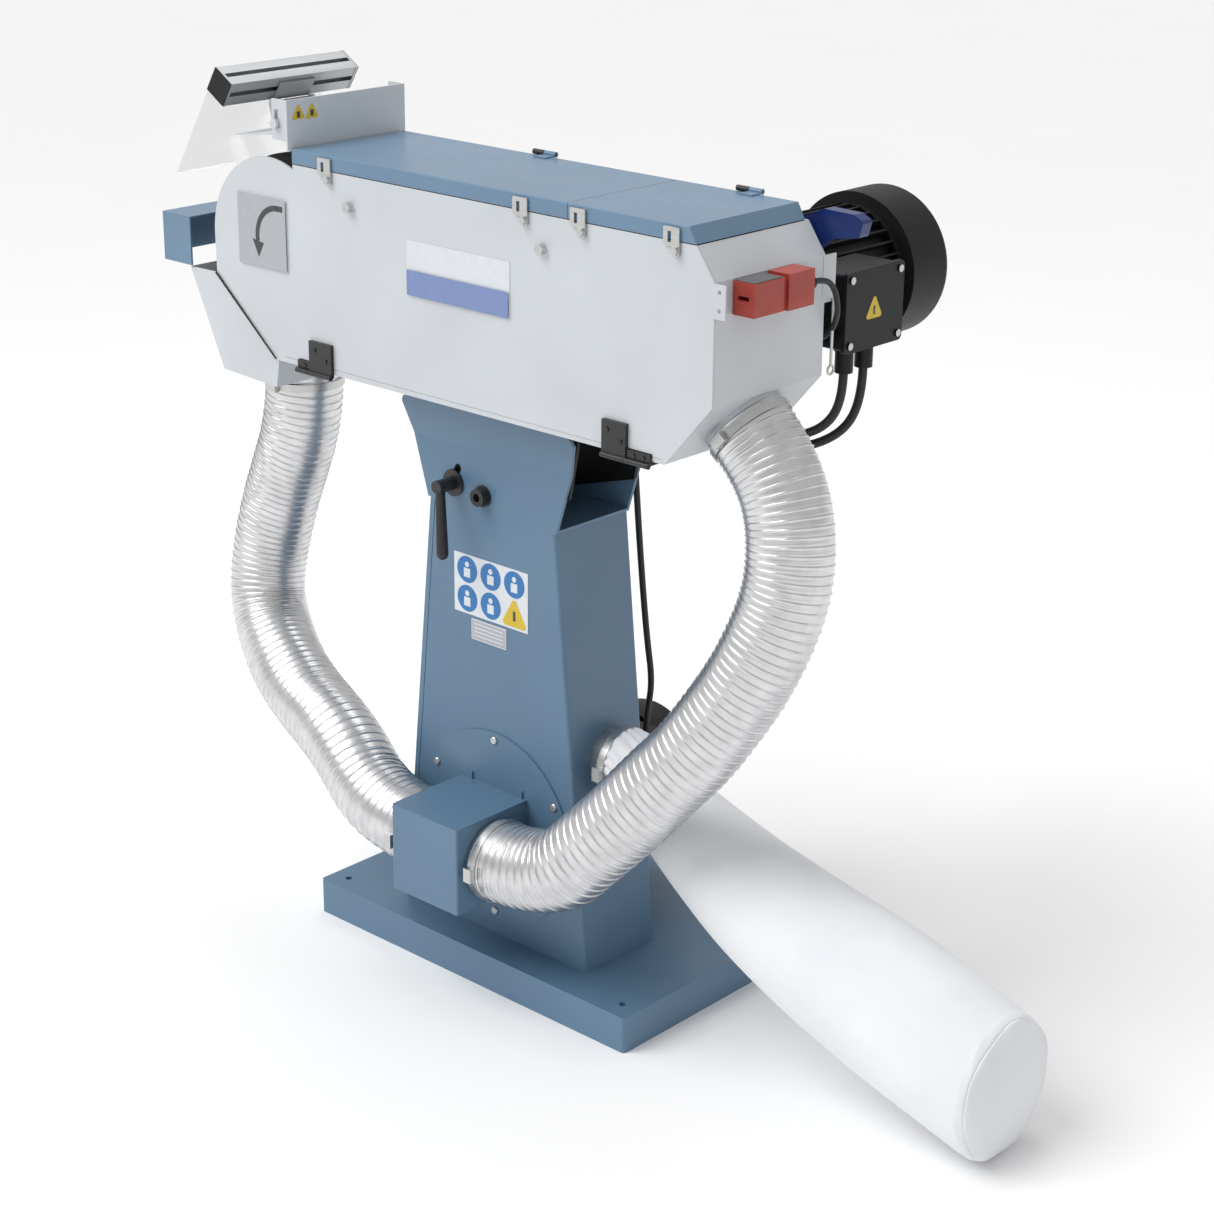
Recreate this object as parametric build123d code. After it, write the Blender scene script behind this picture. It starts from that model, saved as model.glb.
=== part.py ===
from build123d import *
import math
import os

os.makedirs("parts", exist_ok=True)

# Driving dimensions in millimetres. X runs towards the motor end, -Y is the front, Z is up.
RUN = 0.06  # radial clearance of a running shaft
GAP = 0.4  # clearance between moving pieces

BASE_LENGTH = 650
BASE_DEPTH = 460
BASE_HEIGHT = 57
BASE_WALL = 4
ANCHOR_R = 5.5
ANCHOR_INSET = 31
ANCHOR_TUBE_R = 11

COLUMN_FOOT_HALF = 193
COLUMN_TOP_HALF = 127
COLUMN_FRONT_Y = -169
COLUMN_DEPTH = 154
COLUMN_BACK_Y = COLUMN_FRONT_Y + COLUMN_DEPTH
COLUMN_TOP_Z = 729
COLUMN_WALL = 3
COLUMN_EDGE_R = 5

SADDLE_WALL = 5
SADDLE_KNEE_Z = 821
SADDLE_KNEE_HALF = 157
SADDLE_TOP_Z = 880
SADDLE_TOP_HALF = 171
SADDLE_LEAN = 13
PIVOT_X = -15
PIVOT_Z = 754
PIVOT_R = 10
CLAMP_RADIUS = 60
CLAMP_ANGLE = 173
CLAMP_STUD_R = 6
SLOT_HALF = CLAMP_STUD_R + 0.6
SLOT_SPAN = 26

FAN_X = 8
FAN_Z = 238
FAN_COVER_R = 153
FAN_COVER_T = 3
FAN_EYE_R = 58
SCREW_CIRCLE_R = 141
IMPELLER_R = 112
IMPELLER_FRONT_Y = -140
IMPELLER_WIDTH = 74
FAN_SHAFT_R = 12
FAN_MOTOR_R = 95
FAN_MOTOR_END_Y = 190
HOUSING_WALL = 2
HOUSING_BACK_Y = -34
EXHAUST_Y = -85
EXHAUST_Z = 371
EXHAUST_R = 44
EXHAUST_END_X = 205
BAG_NECK_GROW = 6
BAG_GRIP = 25
BAG_END_Z = 104.5
BAG_END_R = 102

BOX_X0 = -61
BOX_X1 = 75
BOX_FRONT_Y = -318
BOX_Z0 = 166
BOX_Z1 = 303
PORT_Y = -243
PORT_Z = 235
SPIGOT_R = 58
SPIGOT_WALL = 2
PORT_STUB = 34

HOSE_WALL = 2.4
HOSE_FIT = 0.3
HOSE_R = SPIGOT_R + HOSE_FIT + HOSE_WALL
CLAMP_BAND_T = 1.5
CLAMP_BAND_W = 12

COVER_FRONT_Y = -218
COVER_T = 3
CASE_FRONT_Y = COVER_FRONT_Y + COVER_T + GAP
CASE_BACK_Y = 5
BACK_PLATE_T = 5
HEAD_BACK_Y = CASE_BACK_Y + BACK_PLATE_T
CASE_WALL = 3
CASE_BOTTOM_Z = 893
CASE_TOP_Z = 1193
CASE_RIGHT_X = 448
CHAMFER_LOW = (369, 895)
CHAMFER_HIGH = (448, 987)
RIGHT_TOP = (447, 1150)
TOP_RIGHT = (416, CASE_TOP_Z)
RECESS_HALF = 185
RECESS_Z = 930
NOSE_R = 129
NOSE_Z = 1068
LID_LEFT_X = -352
NOSE_FOOT = (-534, 1004)
CASE_CORNER = (-401, CASE_BOTTOM_Z)

WHEEL_X = -406
WHEEL_Z = 1070
WHEEL_R = 125
TYRE_T = 16
AXLE_R = 15
PULLEY_X = 275
PULLEY_Z = 1060
PULLEY_R = 50
MOTOR_SHAFT_R = 14
ROLLER_Z = 1160
ROLLER_R = 30
ROLLER_AXLE_R = 8
BELT_FRONT_Y = -179
BELT_WIDTH = 150
BELT_BACK_Y = BELT_FRONT_Y + BELT_WIDTH
BELT_T = 1.2
BELT_LENGTH = 2000
TENSION_X = 395
TENSION_Z = 1165
TENSION_SHAFT_R = 9

LID_BOTTOM_Z = 1194.5
LID_TOP_Z = 1216
LID_T = 2.5
LID_FRONT_Y = -218.5
LID_BACK_Y = 2
LID_SPLIT_X = 193.5
LID_SPLIT_GAP = 1
LID_RIGHT_TOP_X = 404
LID_RIGHT_LOW_X = 416
LID_HINGE_Y = 8
LID_HINGE_Z = 1219
LID_HINGE_R = 4
LID_HINGES = (-62, 317)
HINGE_LENGTH = 44
HINGE_PIN_R = 1.5

COVER_HINGE_Y = -224
COVER_HINGE_Z = 889
COVER_HINGE_R = 4
COVER_HINGES = ((-322, -274, -350), (263, 306, 348))
NOTCH_GAP = 0.8
NOTCH_TOP_Z = 905

LATCH_XS = (-280, 110, 215, 377)
LATCH_W = 27
LATCH_Z0 = 1175
LATCH_Z1 = 1212
LATCH_T = 3

MOTOR_R = 95
MOTOR_CORE_R = 80
MOTOR_END_Y = 302
COWL_R = 110
COWL_END_Y = 390
SHIELD_T = 12

GUARD_X0 = -358
GUARD_X1 = -355
GUARD_Z0 = 1213
GUARD_Z1 = 1285
EAR_X0 = -388
FLAP_TIP = (-477, 1220)
FLAP_ROOT = (-362, 1235)
GUARD_BOLT_X = -378
GUARD_BOLT_Z = 1250
GUARD_DROP = 14
VISOR_X = -478
VISOR_Z = 1257
PROFILE_X = -490
PROFILE_Z = 1291
PROFILE_SIZE = 40
VISOR_DROP = 181
PROFILE_TURN = -32

REST_X0 = -660
REST_X1 = -595
REST_Z0 = 1006
REST_Z1 = 1081
REST_T = 3
REST_TRAVEL = 45
REST_BOLT_X = -500
REST_BOLT_Z = 1052

# Routes of the hoses and cables, chosen by hand.
HOSE_LEFT_ROUTE = [
    (-472, -104, 845), (-472, -104, 772), (-524, -108, 645), (-556, -122, 522), (-530, -146, 420),
    (-420, -182, 345), (-285, -210, 310), (-165, -243, 235), (BOX_X0 - 3, PORT_Y, PORT_Z),
]
HOSE_RIGHT_ROUTE = [
    (413.05, -104, 937.09), (461.99, -104, 895.07), (501, -108, 815), (506, -122, 715), (482, -146, 625),
    (425, -176, 510), (335, -210, 397), (272, -230, 322), (190, -243, 235), (BOX_X1 + 3, PORT_Y, PORT_Z),
]
MOTOR_CABLE_ROUTES = [
    [(410, 110, 965), (410, 110, 925), (392, 100, 885), (345, 88, 862), (290, 74, 858),
     (225, 62, 862), (165, 56, 868), (125, 55, 890), (125, 55, 930)],
    [(410, 155, 965), (410, 155, 920), (396, 140, 872), (350, 116, 842), (285, 92, 834),
     (205, 76, 840), (140, 70, 852), (98, 70, 882), (98, 70, 930)],
]
SWITCH_CABLE_ROUTE = [
    (466, -43, 1126), (466, -14, 1126), (467, 8, 1108), (464, 20, 1072), (448, 28, 1044), (426, 33, 1030),
    (415, 44, 1026), (415, 60, 1026),
]
FAN_CABLE_ROUTE = [
    (70, 55, 930), (70, 55, 860), (76, 60, 740), (86, 62, 620), (100, 62, 505), (110, 66, 430), (92, 74, 372),
    (92, 74, 338),
]
MOTOR_CABLE_R = 6.5
SWITCH_CABLE_R = 4
FAN_CABLE_R = 5


def block(x0, x1, y0, y1, z0, z1):
    """A box between two corners."""
    middle = Pos((x0 + x1) / 2, (y0 + y1) / 2, (z0 + z1) / 2)
    return middle * Box(x1 - x0, y1 - y0, z1 - z0)


def across(face, y0, y1):
    """A face drawn in XZ, made solid between two Y planes."""
    return extrude(Plane.XZ.offset(-y1) * face, amount=y1 - y0)


def along(face, x0, x1):
    """A face drawn in YZ, made solid between two X planes."""
    return extrude(Plane.YZ.offset(x0) * face, amount=x1 - x0)


def outline(*points):
    """A flat face inside a closed run of straight edges."""
    return make_face(Polyline(*points, close=True))


def disc(a, b, r):
    """A round face at a place in its plane."""
    return Pos(a, b) * Circle(r)


def rod_y(x, z, r, y0, y1):
    return across(disc(x, z, r), y0, y1)


def ring_y(x, z, outer, inner, y0, y1):
    return across(disc(x, z, outer) - disc(x, z, inner), y0, y1)


def rod_x(y, z, r, x0, x1):
    return along(disc(y, z, r), x0, x1)


def ring_x(y, z, outer, inner, x0, x1):
    return along(disc(y, z, outer) - disc(y, z, inner), x0, x1)


def band(points, thickness):
    """An open run of points, thickened on its left-hand side with mitred corners."""
    inner = []
    for index, (x, z) in enumerate(points):
        normals = []
        for a, b in ((index - 1, index), (index, index + 1)):
            if a >= 0 and b < len(points):
                dx = points[b][0] - points[a][0]
                dz = points[b][1] - points[a][1]
                length = math.hypot(dx, dz)
                normals.append((-dz / length, dx / length))
        nx = sum(normal[0] for normal in normals)
        nz = sum(normal[1] for normal in normals)
        reach = thickness * len(normals) / (nx * nx + nz * nz)
        inner.append((x + nx * reach, z + nz * reach))
    return outline(*points, *reversed(inner))


def hex_y(x, z, r, y0, y1):
    return across(Pos(x, z) * RegularPolygon(r, 6), y0, y1)


# ---------------------------------------------------------------- stand


def base_plate():
    """A welded plinth of folded sheet with an anchor tube in each corner."""
    half_x = BASE_LENGTH / 2
    half_y = BASE_DEPTH / 2
    shell = block(-half_x, half_x, -half_y, half_y, 0, BASE_HEIGHT)
    shell = fillet(shell.edges().filter_by(Axis.Z), 6)
    hollow = block(
        BASE_WALL - half_x, half_x - BASE_WALL, BASE_WALL - half_y, half_y - BASE_WALL,
        BASE_WALL, BASE_HEIGHT - BASE_WALL,
    )
    shell -= hollow
    for x in (ANCHOR_INSET - half_x, half_x - ANCHOR_INSET):
        for y in (ANCHOR_INSET - half_y, half_y - ANCHOR_INSET):
            shell += Pos(x, y, BASE_HEIGHT / 2) * Cylinder(ANCHOR_TUBE_R, BASE_HEIGHT)
            shell -= Pos(x, y, BASE_HEIGHT / 2) * Cylinder(ANCHOR_R, BASE_HEIGHT + 2)
    return shell


def column_half(z):
    """Half the column's width at a height."""
    share = (z - BASE_HEIGHT) / (COLUMN_TOP_Z - BASE_HEIGHT)
    return COLUMN_FOOT_HALF + (COLUMN_TOP_HALF - COLUMN_FOOT_HALF) * share


def column():
    """A tapered sheet-metal column that also encloses the fan."""
    outer = outline(
        (-COLUMN_FOOT_HALF, BASE_HEIGHT), (COLUMN_FOOT_HALF, BASE_HEIGHT),
        (COLUMN_TOP_HALF, COLUMN_TOP_Z), (-COLUMN_TOP_HALF, COLUMN_TOP_Z),
    )
    body = across(outer, COLUMN_FRONT_Y, COLUMN_BACK_Y)
    upright_edges = [edge for edge in body.edges() if abs(edge.bounding_box().size.Z) > 100]
    body = fillet(upright_edges, COLUMN_EDGE_R)
    low = BASE_HEIGHT - 1
    high = COLUMN_TOP_Z + 1
    inner = outline(
        (COLUMN_WALL - column_half(low), low), (column_half(low) - COLUMN_WALL, low),
        (column_half(high) - COLUMN_WALL, high), (COLUMN_WALL - column_half(high), high),
    )
    body -= across(inner, COLUMN_FRONT_Y + COLUMN_WALL, COLUMN_BACK_Y - COLUMN_WALL)
    body -= rod_y(FAN_X, FAN_Z, SCREW_CIRCLE_R - 14, COLUMN_FRONT_Y - 1, COLUMN_FRONT_Y + COLUMN_WALL + 1)
    body -= rod_y(FAN_X, FAN_Z, FAN_SHAFT_R + 8, COLUMN_BACK_Y - COLUMN_WALL - 1, COLUMN_BACK_Y + 1)
    body -= rod_x(EXHAUST_Y, EXHAUST_Z, EXHAUST_R + SPIGOT_WALL, 100, COLUMN_FOOT_HALF)
    seam_in = 12
    seam_w = 1.4
    seam = outline(
        (seam_in - column_half(low), low), (seam_in + seam_w - column_half(low), low),
        (seam_in + seam_w - column_half(high), high), (seam_in - column_half(high), high),
    )
    body -= across(seam, COLUMN_FRONT_Y - 1, COLUMN_FRONT_Y + 1)
    return body


def saddle():
    """A trough of 5 mm plate, open at both ends, that the head tilts in."""
    front = COLUMN_FRONT_Y
    back = COLUMN_BACK_Y
    wall = SADDLE_WALL
    lean = SADDLE_LEAN
    profile = outline(
        (front, COLUMN_TOP_Z), (front, SADDLE_KNEE_Z), (front - lean, SADDLE_TOP_Z),
        (front - lean + wall, SADDLE_TOP_Z), (front + wall, SADDLE_KNEE_Z), (front + wall, COLUMN_TOP_Z + wall),
        (back - wall, COLUMN_TOP_Z + wall), (back - wall, SADDLE_KNEE_Z), (back + lean - wall, SADDLE_TOP_Z),
        (back + lean, SADDLE_TOP_Z), (back, SADDLE_KNEE_Z), (back, COLUMN_TOP_Z),
    )
    trough = along(profile, -SADDLE_TOP_HALF, SADDLE_TOP_HALF)
    foot = COLUMN_TOP_HALF + 2
    corner = 12
    right_side = [
        (foot, COLUMN_TOP_Z), (SADDLE_KNEE_HALF, SADDLE_KNEE_Z), (SADDLE_TOP_HALF, SADDLE_TOP_Z - corner),
        (SADDLE_TOP_HALF - corner * 0.3, SADDLE_TOP_Z - corner * 0.3), (SADDLE_TOP_HALF - corner, SADDLE_TOP_Z),
    ]
    left_side = [(-x, z) for x, z in reversed(right_side)]
    trough &= across(outline(*right_side, *left_side), front - lean - 1, back + lean + 1)
    trough -= rod_y(PIVOT_X, PIVOT_Z, PIVOT_R, front - 1, back + 1)
    arc = CenterArc((PIVOT_X, PIVOT_Z), CLAMP_RADIUS, CLAMP_ANGLE + 2 - SLOT_SPAN, SLOT_SPAN)
    trough -= across(SlotArc(arc, 2 * SLOT_HALF), front - 1, front + wall + 1)
    return trough


def pivot_bolt():
    """The socket-head bolt that the head tilts on, with its washer and nut."""
    bolt = rod_y(PIVOT_X, PIVOT_Z, PIVOT_R, COLUMN_FRONT_Y, COLUMN_BACK_Y)
    bolt += rod_y(PIVOT_X, PIVOT_Z, 16, COLUMN_FRONT_Y - 2.5, COLUMN_FRONT_Y)
    head = rod_y(PIVOT_X, PIVOT_Z, 13, COLUMN_FRONT_Y - 14, COLUMN_FRONT_Y - 2.5)
    head -= hex_y(PIVOT_X, PIVOT_Z, 7, COLUMN_FRONT_Y - 15, COLUMN_FRONT_Y - 7)
    bolt += head
    bolt += hex_y(PIVOT_X, PIVOT_Z, 16, COLUMN_BACK_Y, COLUMN_BACK_Y + 10)
    return bolt


def scroll(grow, eye=0):
    """The fan casing's outline: a spiral that opens into the outlet on the right."""
    tongue = 40
    turns = 310
    first = IMPELLER_R + 12
    last = EXHAUST_Z + EXHAUST_R - FAN_Z
    points = []
    steps = 24
    for step in range(steps + 1):
        angle = math.radians(tongue - turns * step / steps)
        r = first + (last - first) * step / steps + grow
        points.append((FAN_X + r * math.cos(angle), FAN_Z + r * math.sin(angle)))
    end_x = column_half(EXHAUST_Z + EXHAUST_R) - COLUMN_WALL - 4 + eye
    points.append((end_x, EXHAUST_Z + EXHAUST_R + grow))
    points.append((end_x, EXHAUST_Z - EXHAUST_R - grow))
    return outline(*points)


def fan_housing():
    """The scroll round the impeller, closed in front by the column's own wall."""
    front = COLUMN_FRONT_Y + COLUMN_WALL
    housing = across(scroll(HOUSING_WALL), front, HOUSING_BACK_Y)
    housing -= across(scroll(0, -HOUSING_WALL), front - 1, HOUSING_BACK_Y - HOUSING_WALL)
    housing -= rod_x(EXHAUST_Y, EXHAUST_Z, EXHAUST_R, FAN_X, COLUMN_FOOT_HALF)
    housing -= rod_y(FAN_X, FAN_Z, FAN_SHAFT_R + 8, HOUSING_BACK_Y - 10, HOUSING_BACK_Y + 1)
    return housing


def fan_cover():
    """The round inspection cover with the fan's inlet eye."""
    plate = ring_y(FAN_X, FAN_Z, FAN_COVER_R, FAN_EYE_R, COLUMN_FRONT_Y - FAN_COVER_T, COLUMN_FRONT_Y)
    return plate


def fan_cover_screws():
    """Six pan-head screws on one circle."""
    front = COLUMN_FRONT_Y - FAN_COVER_T
    screws = Part()
    for index in range(6):
        angle = math.radians(30 + 60 * index)
        x = FAN_X + SCREW_CIRCLE_R * math.cos(angle)
        z = FAN_Z + SCREW_CIRCLE_R * math.sin(angle)
        head = rod_y(x, z, 6, front - 3, front)
        head = chamfer(head.faces().sort_by(Axis.Y)[0].edges(), 1)
        screws += head
    return screws


def inlet_box():
    """The sheet-metal box that joins both hoses to the fan's eye."""
    back = COLUMN_FRONT_Y - FAN_COVER_T
    wall = HOUSING_WALL
    shell = block(BOX_X0, BOX_X1, BOX_FRONT_Y, back, BOX_Z0, BOX_Z1)
    shell = fillet(shell.edges().filter_by(Axis.Z).sort_by(Axis.Y)[:2], 3)
    stubs = rod_x(PORT_Y, PORT_Z, SPIGOT_R, BOX_X0 - PORT_STUB, BOX_X1 + PORT_STUB)
    tabs = block(BOX_X0 + 8, BOX_X0 + 24, back - 3, back, BOX_Z1, BOX_Z1 + 12)
    tabs += block(BOX_X1 - 24, BOX_X1 - 8, back - 3, back, BOX_Z1, BOX_Z1 + 12)
    shell = shell + stubs + tabs
    shell -= block(BOX_X0 + wall, BOX_X1 - wall, BOX_FRONT_Y + wall, back + 1, BOX_Z0 + wall, BOX_Z1 - wall)
    bore = SPIGOT_R - SPIGOT_WALL
    shell -= rod_x(PORT_Y, PORT_Z, bore, BOX_X0 - PORT_STUB - 1, BOX_X1 + PORT_STUB + 1)
    return shell


def finned(x, z, core, tip, bore, count, y0, y1):
    """A motor barrel with lengthwise fins round it and a bore for its shaft."""
    face = disc(x, z, core)
    fin = Pos((core + tip) / 2 - 1, 0) * Rectangle(tip - core + 2, 3)
    fins = Sketch() + [Rot(0, 0, 360 * index / count) * fin for index in range(count)]
    face = face + Pos(x, z) * fins - disc(x, z, bore)
    return across(face, y0, y1)


def fan_motor():
    """The fan's foot-less motor on the column's back, with its cowl and terminal box."""
    bore = FAN_SHAFT_R + RUN
    barrel_end = FAN_MOTOR_END_Y - 60
    motor = finned(FAN_X, FAN_Z, FAN_MOTOR_R - 12, FAN_MOTOR_R, bore, 28, COLUMN_BACK_Y + 8, barrel_end)
    motor += ring_y(FAN_X, FAN_Z, FAN_MOTOR_R, bore, COLUMN_BACK_Y, COLUMN_BACK_Y + 8)
    cowl = rod_y(FAN_X, FAN_Z, FAN_MOTOR_R + 3, barrel_end, FAN_MOTOR_END_Y)
    cowl = fillet(cowl.faces().sort_by(Axis.Y)[-1].edges(), 8)
    cowl -= rod_y(FAN_X, FAN_Z, FAN_MOTOR_R, barrel_end + 2, FAN_MOTOR_END_Y - 3)
    cowl -= rod_y(FAN_X, FAN_Z, bore, barrel_end - 1, barrel_end + 3)
    for index in range(12):
        slot = Rot(0, 0, 30 * index) * (Pos(60, 0) * Rectangle(46, 9))
        cowl -= across(Pos(FAN_X, FAN_Z) * slot, FAN_MOTOR_END_Y - 8, FAN_MOTOR_END_Y + 1)
    motor += cowl
    motor += block(FAN_X + 20, FAN_X + 96, 30, 105, FAN_Z + 60, FAN_Z + 100)
    return motor


def fan_shaft():
    return rod_y(FAN_X, FAN_Z, FAN_SHAFT_R, IMPELLER_FRONT_Y, FAN_MOTOR_END_Y - 12)


def impeller():
    """A back disc with backward-curved blades, a hub and a front ring."""
    back = IMPELLER_FRONT_Y + IMPELLER_WIDTH
    wheel = ring_y(FAN_X, FAN_Z, IMPELLER_R, FAN_SHAFT_R, back - 3, back)
    wheel += ring_y(FAN_X, FAN_Z, FAN_SHAFT_R + 14, FAN_SHAFT_R, IMPELLER_FRONT_Y + 20, back)
    wheel += ring_y(FAN_X, FAN_Z, IMPELLER_R, IMPELLER_R - 34, IMPELLER_FRONT_Y, IMPELLER_FRONT_Y + 2)
    for index in range(9):
        blade = Rot(0, 0, 40 * index) * (Pos(80, 0) * Rot(0, 0, 35) * Rectangle(62, 3))
        wheel += across(Pos(FAN_X, FAN_Z) * blade, IMPELLER_FRONT_Y, back - 2)
    return wheel


def exhaust_spigot():
    """The short tube on the column's side that the filter bag is tied to."""
    inside = column_half(EXHAUST_Z + EXHAUST_R) - COLUMN_WALL - 4
    r = EXHAUST_R + SPIGOT_WALL
    tube = ring_x(EXHAUST_Y, EXHAUST_Z, r, EXHAUST_R, inside, EXHAUST_END_X)
    return tube


def bag_sections():
    """Centres and radii of the bag, from its tied neck to its round end."""
    neck = EXHAUST_R + BAG_NECK_GROW
    return [
        (EXHAUST_END_X - BAG_GRIP, EXHAUST_Y, EXHAUST_Z, neck),
        (EXHAUST_END_X + 3, EXHAUST_Y, EXHAUST_Z - 2, neck + 2),
        (268, EXHAUST_Y, 329, 62), (438, -83, 239, 88), (675, -82, 164, 106), (859, -81, BAG_END_Z, BAG_END_R),
        (879, -81, BAG_END_Z, BAG_END_R - 10), (888, -81, BAG_END_Z, BAG_END_R - 44),
    ]


def filter_bag():
    """A plain solid of the inflated fabric bag, open round the spigot at its neck."""
    circles = [Plane.YZ.offset(x) * disc(y, z, r) for x, y, z, r in bag_sections()]
    bag = loft(circles, ruled=True)
    bag -= rod_x(EXHAUST_Y, EXHAUST_Z, EXHAUST_R + SPIGOT_WALL, EXHAUST_END_X - BAG_GRIP - 5, EXHAUST_END_X + 2)
    return bag


def clamp_band(origin, direction, r):
    """A worm-drive hose clamp: a band and its screw housing on the front."""
    plane = Plane(origin=origin, x_dir=(0, -1, 0), z_dir=direction)
    band_face = Circle(r + CLAMP_BAND_T) - Circle(r)
    ring = extrude(plane * band_face, amount=CLAMP_BAND_W)
    housing = plane * Pos(r + CLAMP_BAND_T + 4, 0, CLAMP_BAND_W / 2) * Box(9, 22, CLAMP_BAND_W + 2)
    return ring + housing


def chamfer_normal():
    """The outward direction of the casing's lower right chamfer."""
    dx = CHAMFER_HIGH[0] - CHAMFER_LOW[0]
    dz = CHAMFER_HIGH[1] - CHAMFER_LOW[1]
    length = math.hypot(dx, dz)
    return Vector(dz / length, 0, -dx / length)


def stand_clamps():
    """The hose clamps on the inlet box and the band round the bag's neck."""
    bands = clamp_band((BOX_X0 - 22, PORT_Y, PORT_Z), (1, 0, 0), HOSE_R + HOSE_FIT)
    bands += clamp_band((BOX_X1 + 10, PORT_Y, PORT_Z), (1, 0, 0), HOSE_R + HOSE_FIT)
    neck = clamp_band((EXHAUST_END_X - 22, EXHAUST_Y, EXHAUST_Z), (1, 0, 0), EXHAUST_R + BAG_NECK_GROW + 3)
    return bands + neck


def cord_path(name, route, start=None):
    """Straight runs joined by arcs as large as each pair of runs allows."""
    points = [Vector(*point) for point in route]
    radii = []
    for before, corner, after in zip(points, points[1:], points[2:]):
        first = corner - before
        second = after - corner
        turn = math.radians(first.get_angle(second))
        radii.append(0.45 * min(first.length, second.length) / math.tan(turn / 2))
    print(name, "radii", [round(r) for r in radii])
    return FilletPolyline(*points, radius=radii)


def tube(name, route, outer, inner=0):
    """A tube of one section along a cord's path."""
    path = cord_path(name, route)
    plane = Plane(origin=path @ 0, z_dir=path % 0)
    solid = sweep(plane * Circle(outer), path=path)
    area = math.pi * outer * outer
    print(name, "length", round(path.length), "volume ratio", round(solid.volume / (area * path.length), 4))
    if inner:
        solid -= sweep(plane * Circle(inner), path=path)
    return solid


def column_plates():
    """The safety-sign plate and the rating plate, both blank here."""
    front = COLUMN_FRONT_Y
    signs = block(-75, 75, front - 1, front, 565, 657)
    rating = block(-40, 31, front - 1, front, 528, 560)
    return signs + rating


# ---------------------------------------------------------------- head


def tilt_bracket():
    """The inner trough under the casing that turns on the pivot bolt."""
    front = COLUMN_FRONT_Y + SADDLE_WALL + 0.6
    back = COLUMN_BACK_Y - SADDLE_WALL - 0.6
    wall = 6
    shape = outline(
        (-120, RECESS_Z - wall), (-118, 762), (-100, 741), (0, 739), (148, 783), (163, 862), (163, RECESS_Z - wall),
    )
    bracket = across(shape, front, front + wall) + across(shape, back - wall, back)
    bracket += block(-120, 163, front, back, RECESS_Z - wall, RECESS_Z)
    bracket -= rod_y(PIVOT_X, PIVOT_Z, PIVOT_R + RUN, front - 1, back + 1)
    x, z = clamp_place()
    bracket -= rod_y(x, z, CLAMP_STUD_R + RUN, front - 1, front + wall + 1)
    return bracket


def clamp_place():
    """Where the clamp stud stands when the head is level."""
    angle = math.radians(CLAMP_ANGLE)
    return PIVOT_X + CLAMP_RADIUS * math.cos(angle), PIVOT_Z + CLAMP_RADIUS * math.sin(angle)


def clamp_lever():
    """The adjustable clamping lever with its stud and washer."""
    x, z = clamp_place()
    face = COLUMN_FRONT_Y - GAP
    lever = rod_y(x, z, CLAMP_STUD_R, COLUMN_FRONT_Y - 20, COLUMN_FRONT_Y + SADDLE_WALL + 9)
    lever += rod_y(x, z, 20, face - 3, face)
    lever += rod_y(x, z, 10, face - 36, face - 3)
    tip = Vector(x + 28, face - 52, z - 90)
    root = Vector(x, face - 28, z)
    arm_plane = Plane(origin=root, z_dir=tip - root)
    end_plane = Plane(origin=tip, z_dir=tip - root)
    lever += loft([arm_plane * Circle(7), end_plane * Circle(9)])
    lever += Pos(tip.X, tip.Y, tip.Z) * Sphere(9)
    return lever


def casing_face():
    """The casing's side outline, with its round nose over the contact wheel."""
    rise = math.sqrt(NOSE_R**2 - (LID_LEFT_X - WHEEL_X) ** 2)
    nose_top = (LID_LEFT_X, NOSE_Z + rise)
    nose_left = (WHEEL_X - NOSE_R, NOSE_Z)
    middle_angle = math.radians(130)
    nose_middle = (WHEEL_X + NOSE_R * math.cos(middle_angle), NOSE_Z + NOSE_R * math.sin(middle_angle))
    straight = Polyline(
        nose_left, NOSE_FOOT, CASE_CORNER, CHAMFER_LOW, CHAMFER_HIGH, RIGHT_TOP, TOP_RIGHT,
        (LID_LEFT_X, CASE_TOP_Z), nose_top,
    )
    return make_face(straight + ThreePointArc(nose_top, nose_middle, nose_left))


def back_plate():
    """The thick plate that carries every shaft of the head."""
    plate = across(casing_face(), CASE_BACK_Y, HEAD_BACK_Y)
    plate -= rod_y(WHEEL_X, WHEEL_Z, AXLE_R, CASE_BACK_Y - 1, HEAD_BACK_Y + 1)
    plate -= rod_y(PULLEY_X, PULLEY_Z, MOTOR_SHAFT_R + 6, CASE_BACK_Y - 1, HEAD_BACK_Y + 1)
    plate -= rod_y(TENSION_X, TENSION_Z, TENSION_SHAFT_R + RUN, CASE_BACK_Y - 1, HEAD_BACK_Y + 1)
    tab_x = CASE_RIGHT_X - 3
    plate += block(tab_x, CASE_RIGHT_X, CASE_BACK_Y, 32, 1086, 1150)
    return plate


def case_wall():
    """The folded wall round the casing's bottom and right end, with the right hose spigot."""
    run = [
        CASE_CORNER, (-RECESS_HALF, CASE_BOTTOM_Z), (-RECESS_HALF, RECESS_Z), (RECESS_HALF, RECESS_Z),
        (RECESS_HALF, CASE_BOTTOM_Z), CHAMFER_LOW, CHAMFER_HIGH, RIGHT_TOP, TOP_RIGHT,
    ]
    wall = across(band(run, CASE_WALL), CASE_FRONT_Y, CASE_BACK_Y)
    normal = chamfer_normal()
    middle = Vector((CHAMFER_LOW[0] + CHAMFER_HIGH[0]) / 2, -104, (CHAMFER_LOW[1] + CHAMFER_HIGH[1]) / 2)
    plane = Plane(origin=middle - normal * CASE_WALL, x_dir=(0, 1, 0), z_dir=normal)
    wall += extrude(plane * Circle(SPIGOT_R), amount=CASE_WALL + PORT_STUB)
    inner_plane = Plane(origin=middle - normal * 12, x_dir=(0, 1, 0), z_dir=normal)
    wall -= extrude(inner_plane * Circle(SPIGOT_R - SPIGOT_WALL), amount=PORT_STUB + 24)
    return wall


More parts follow.
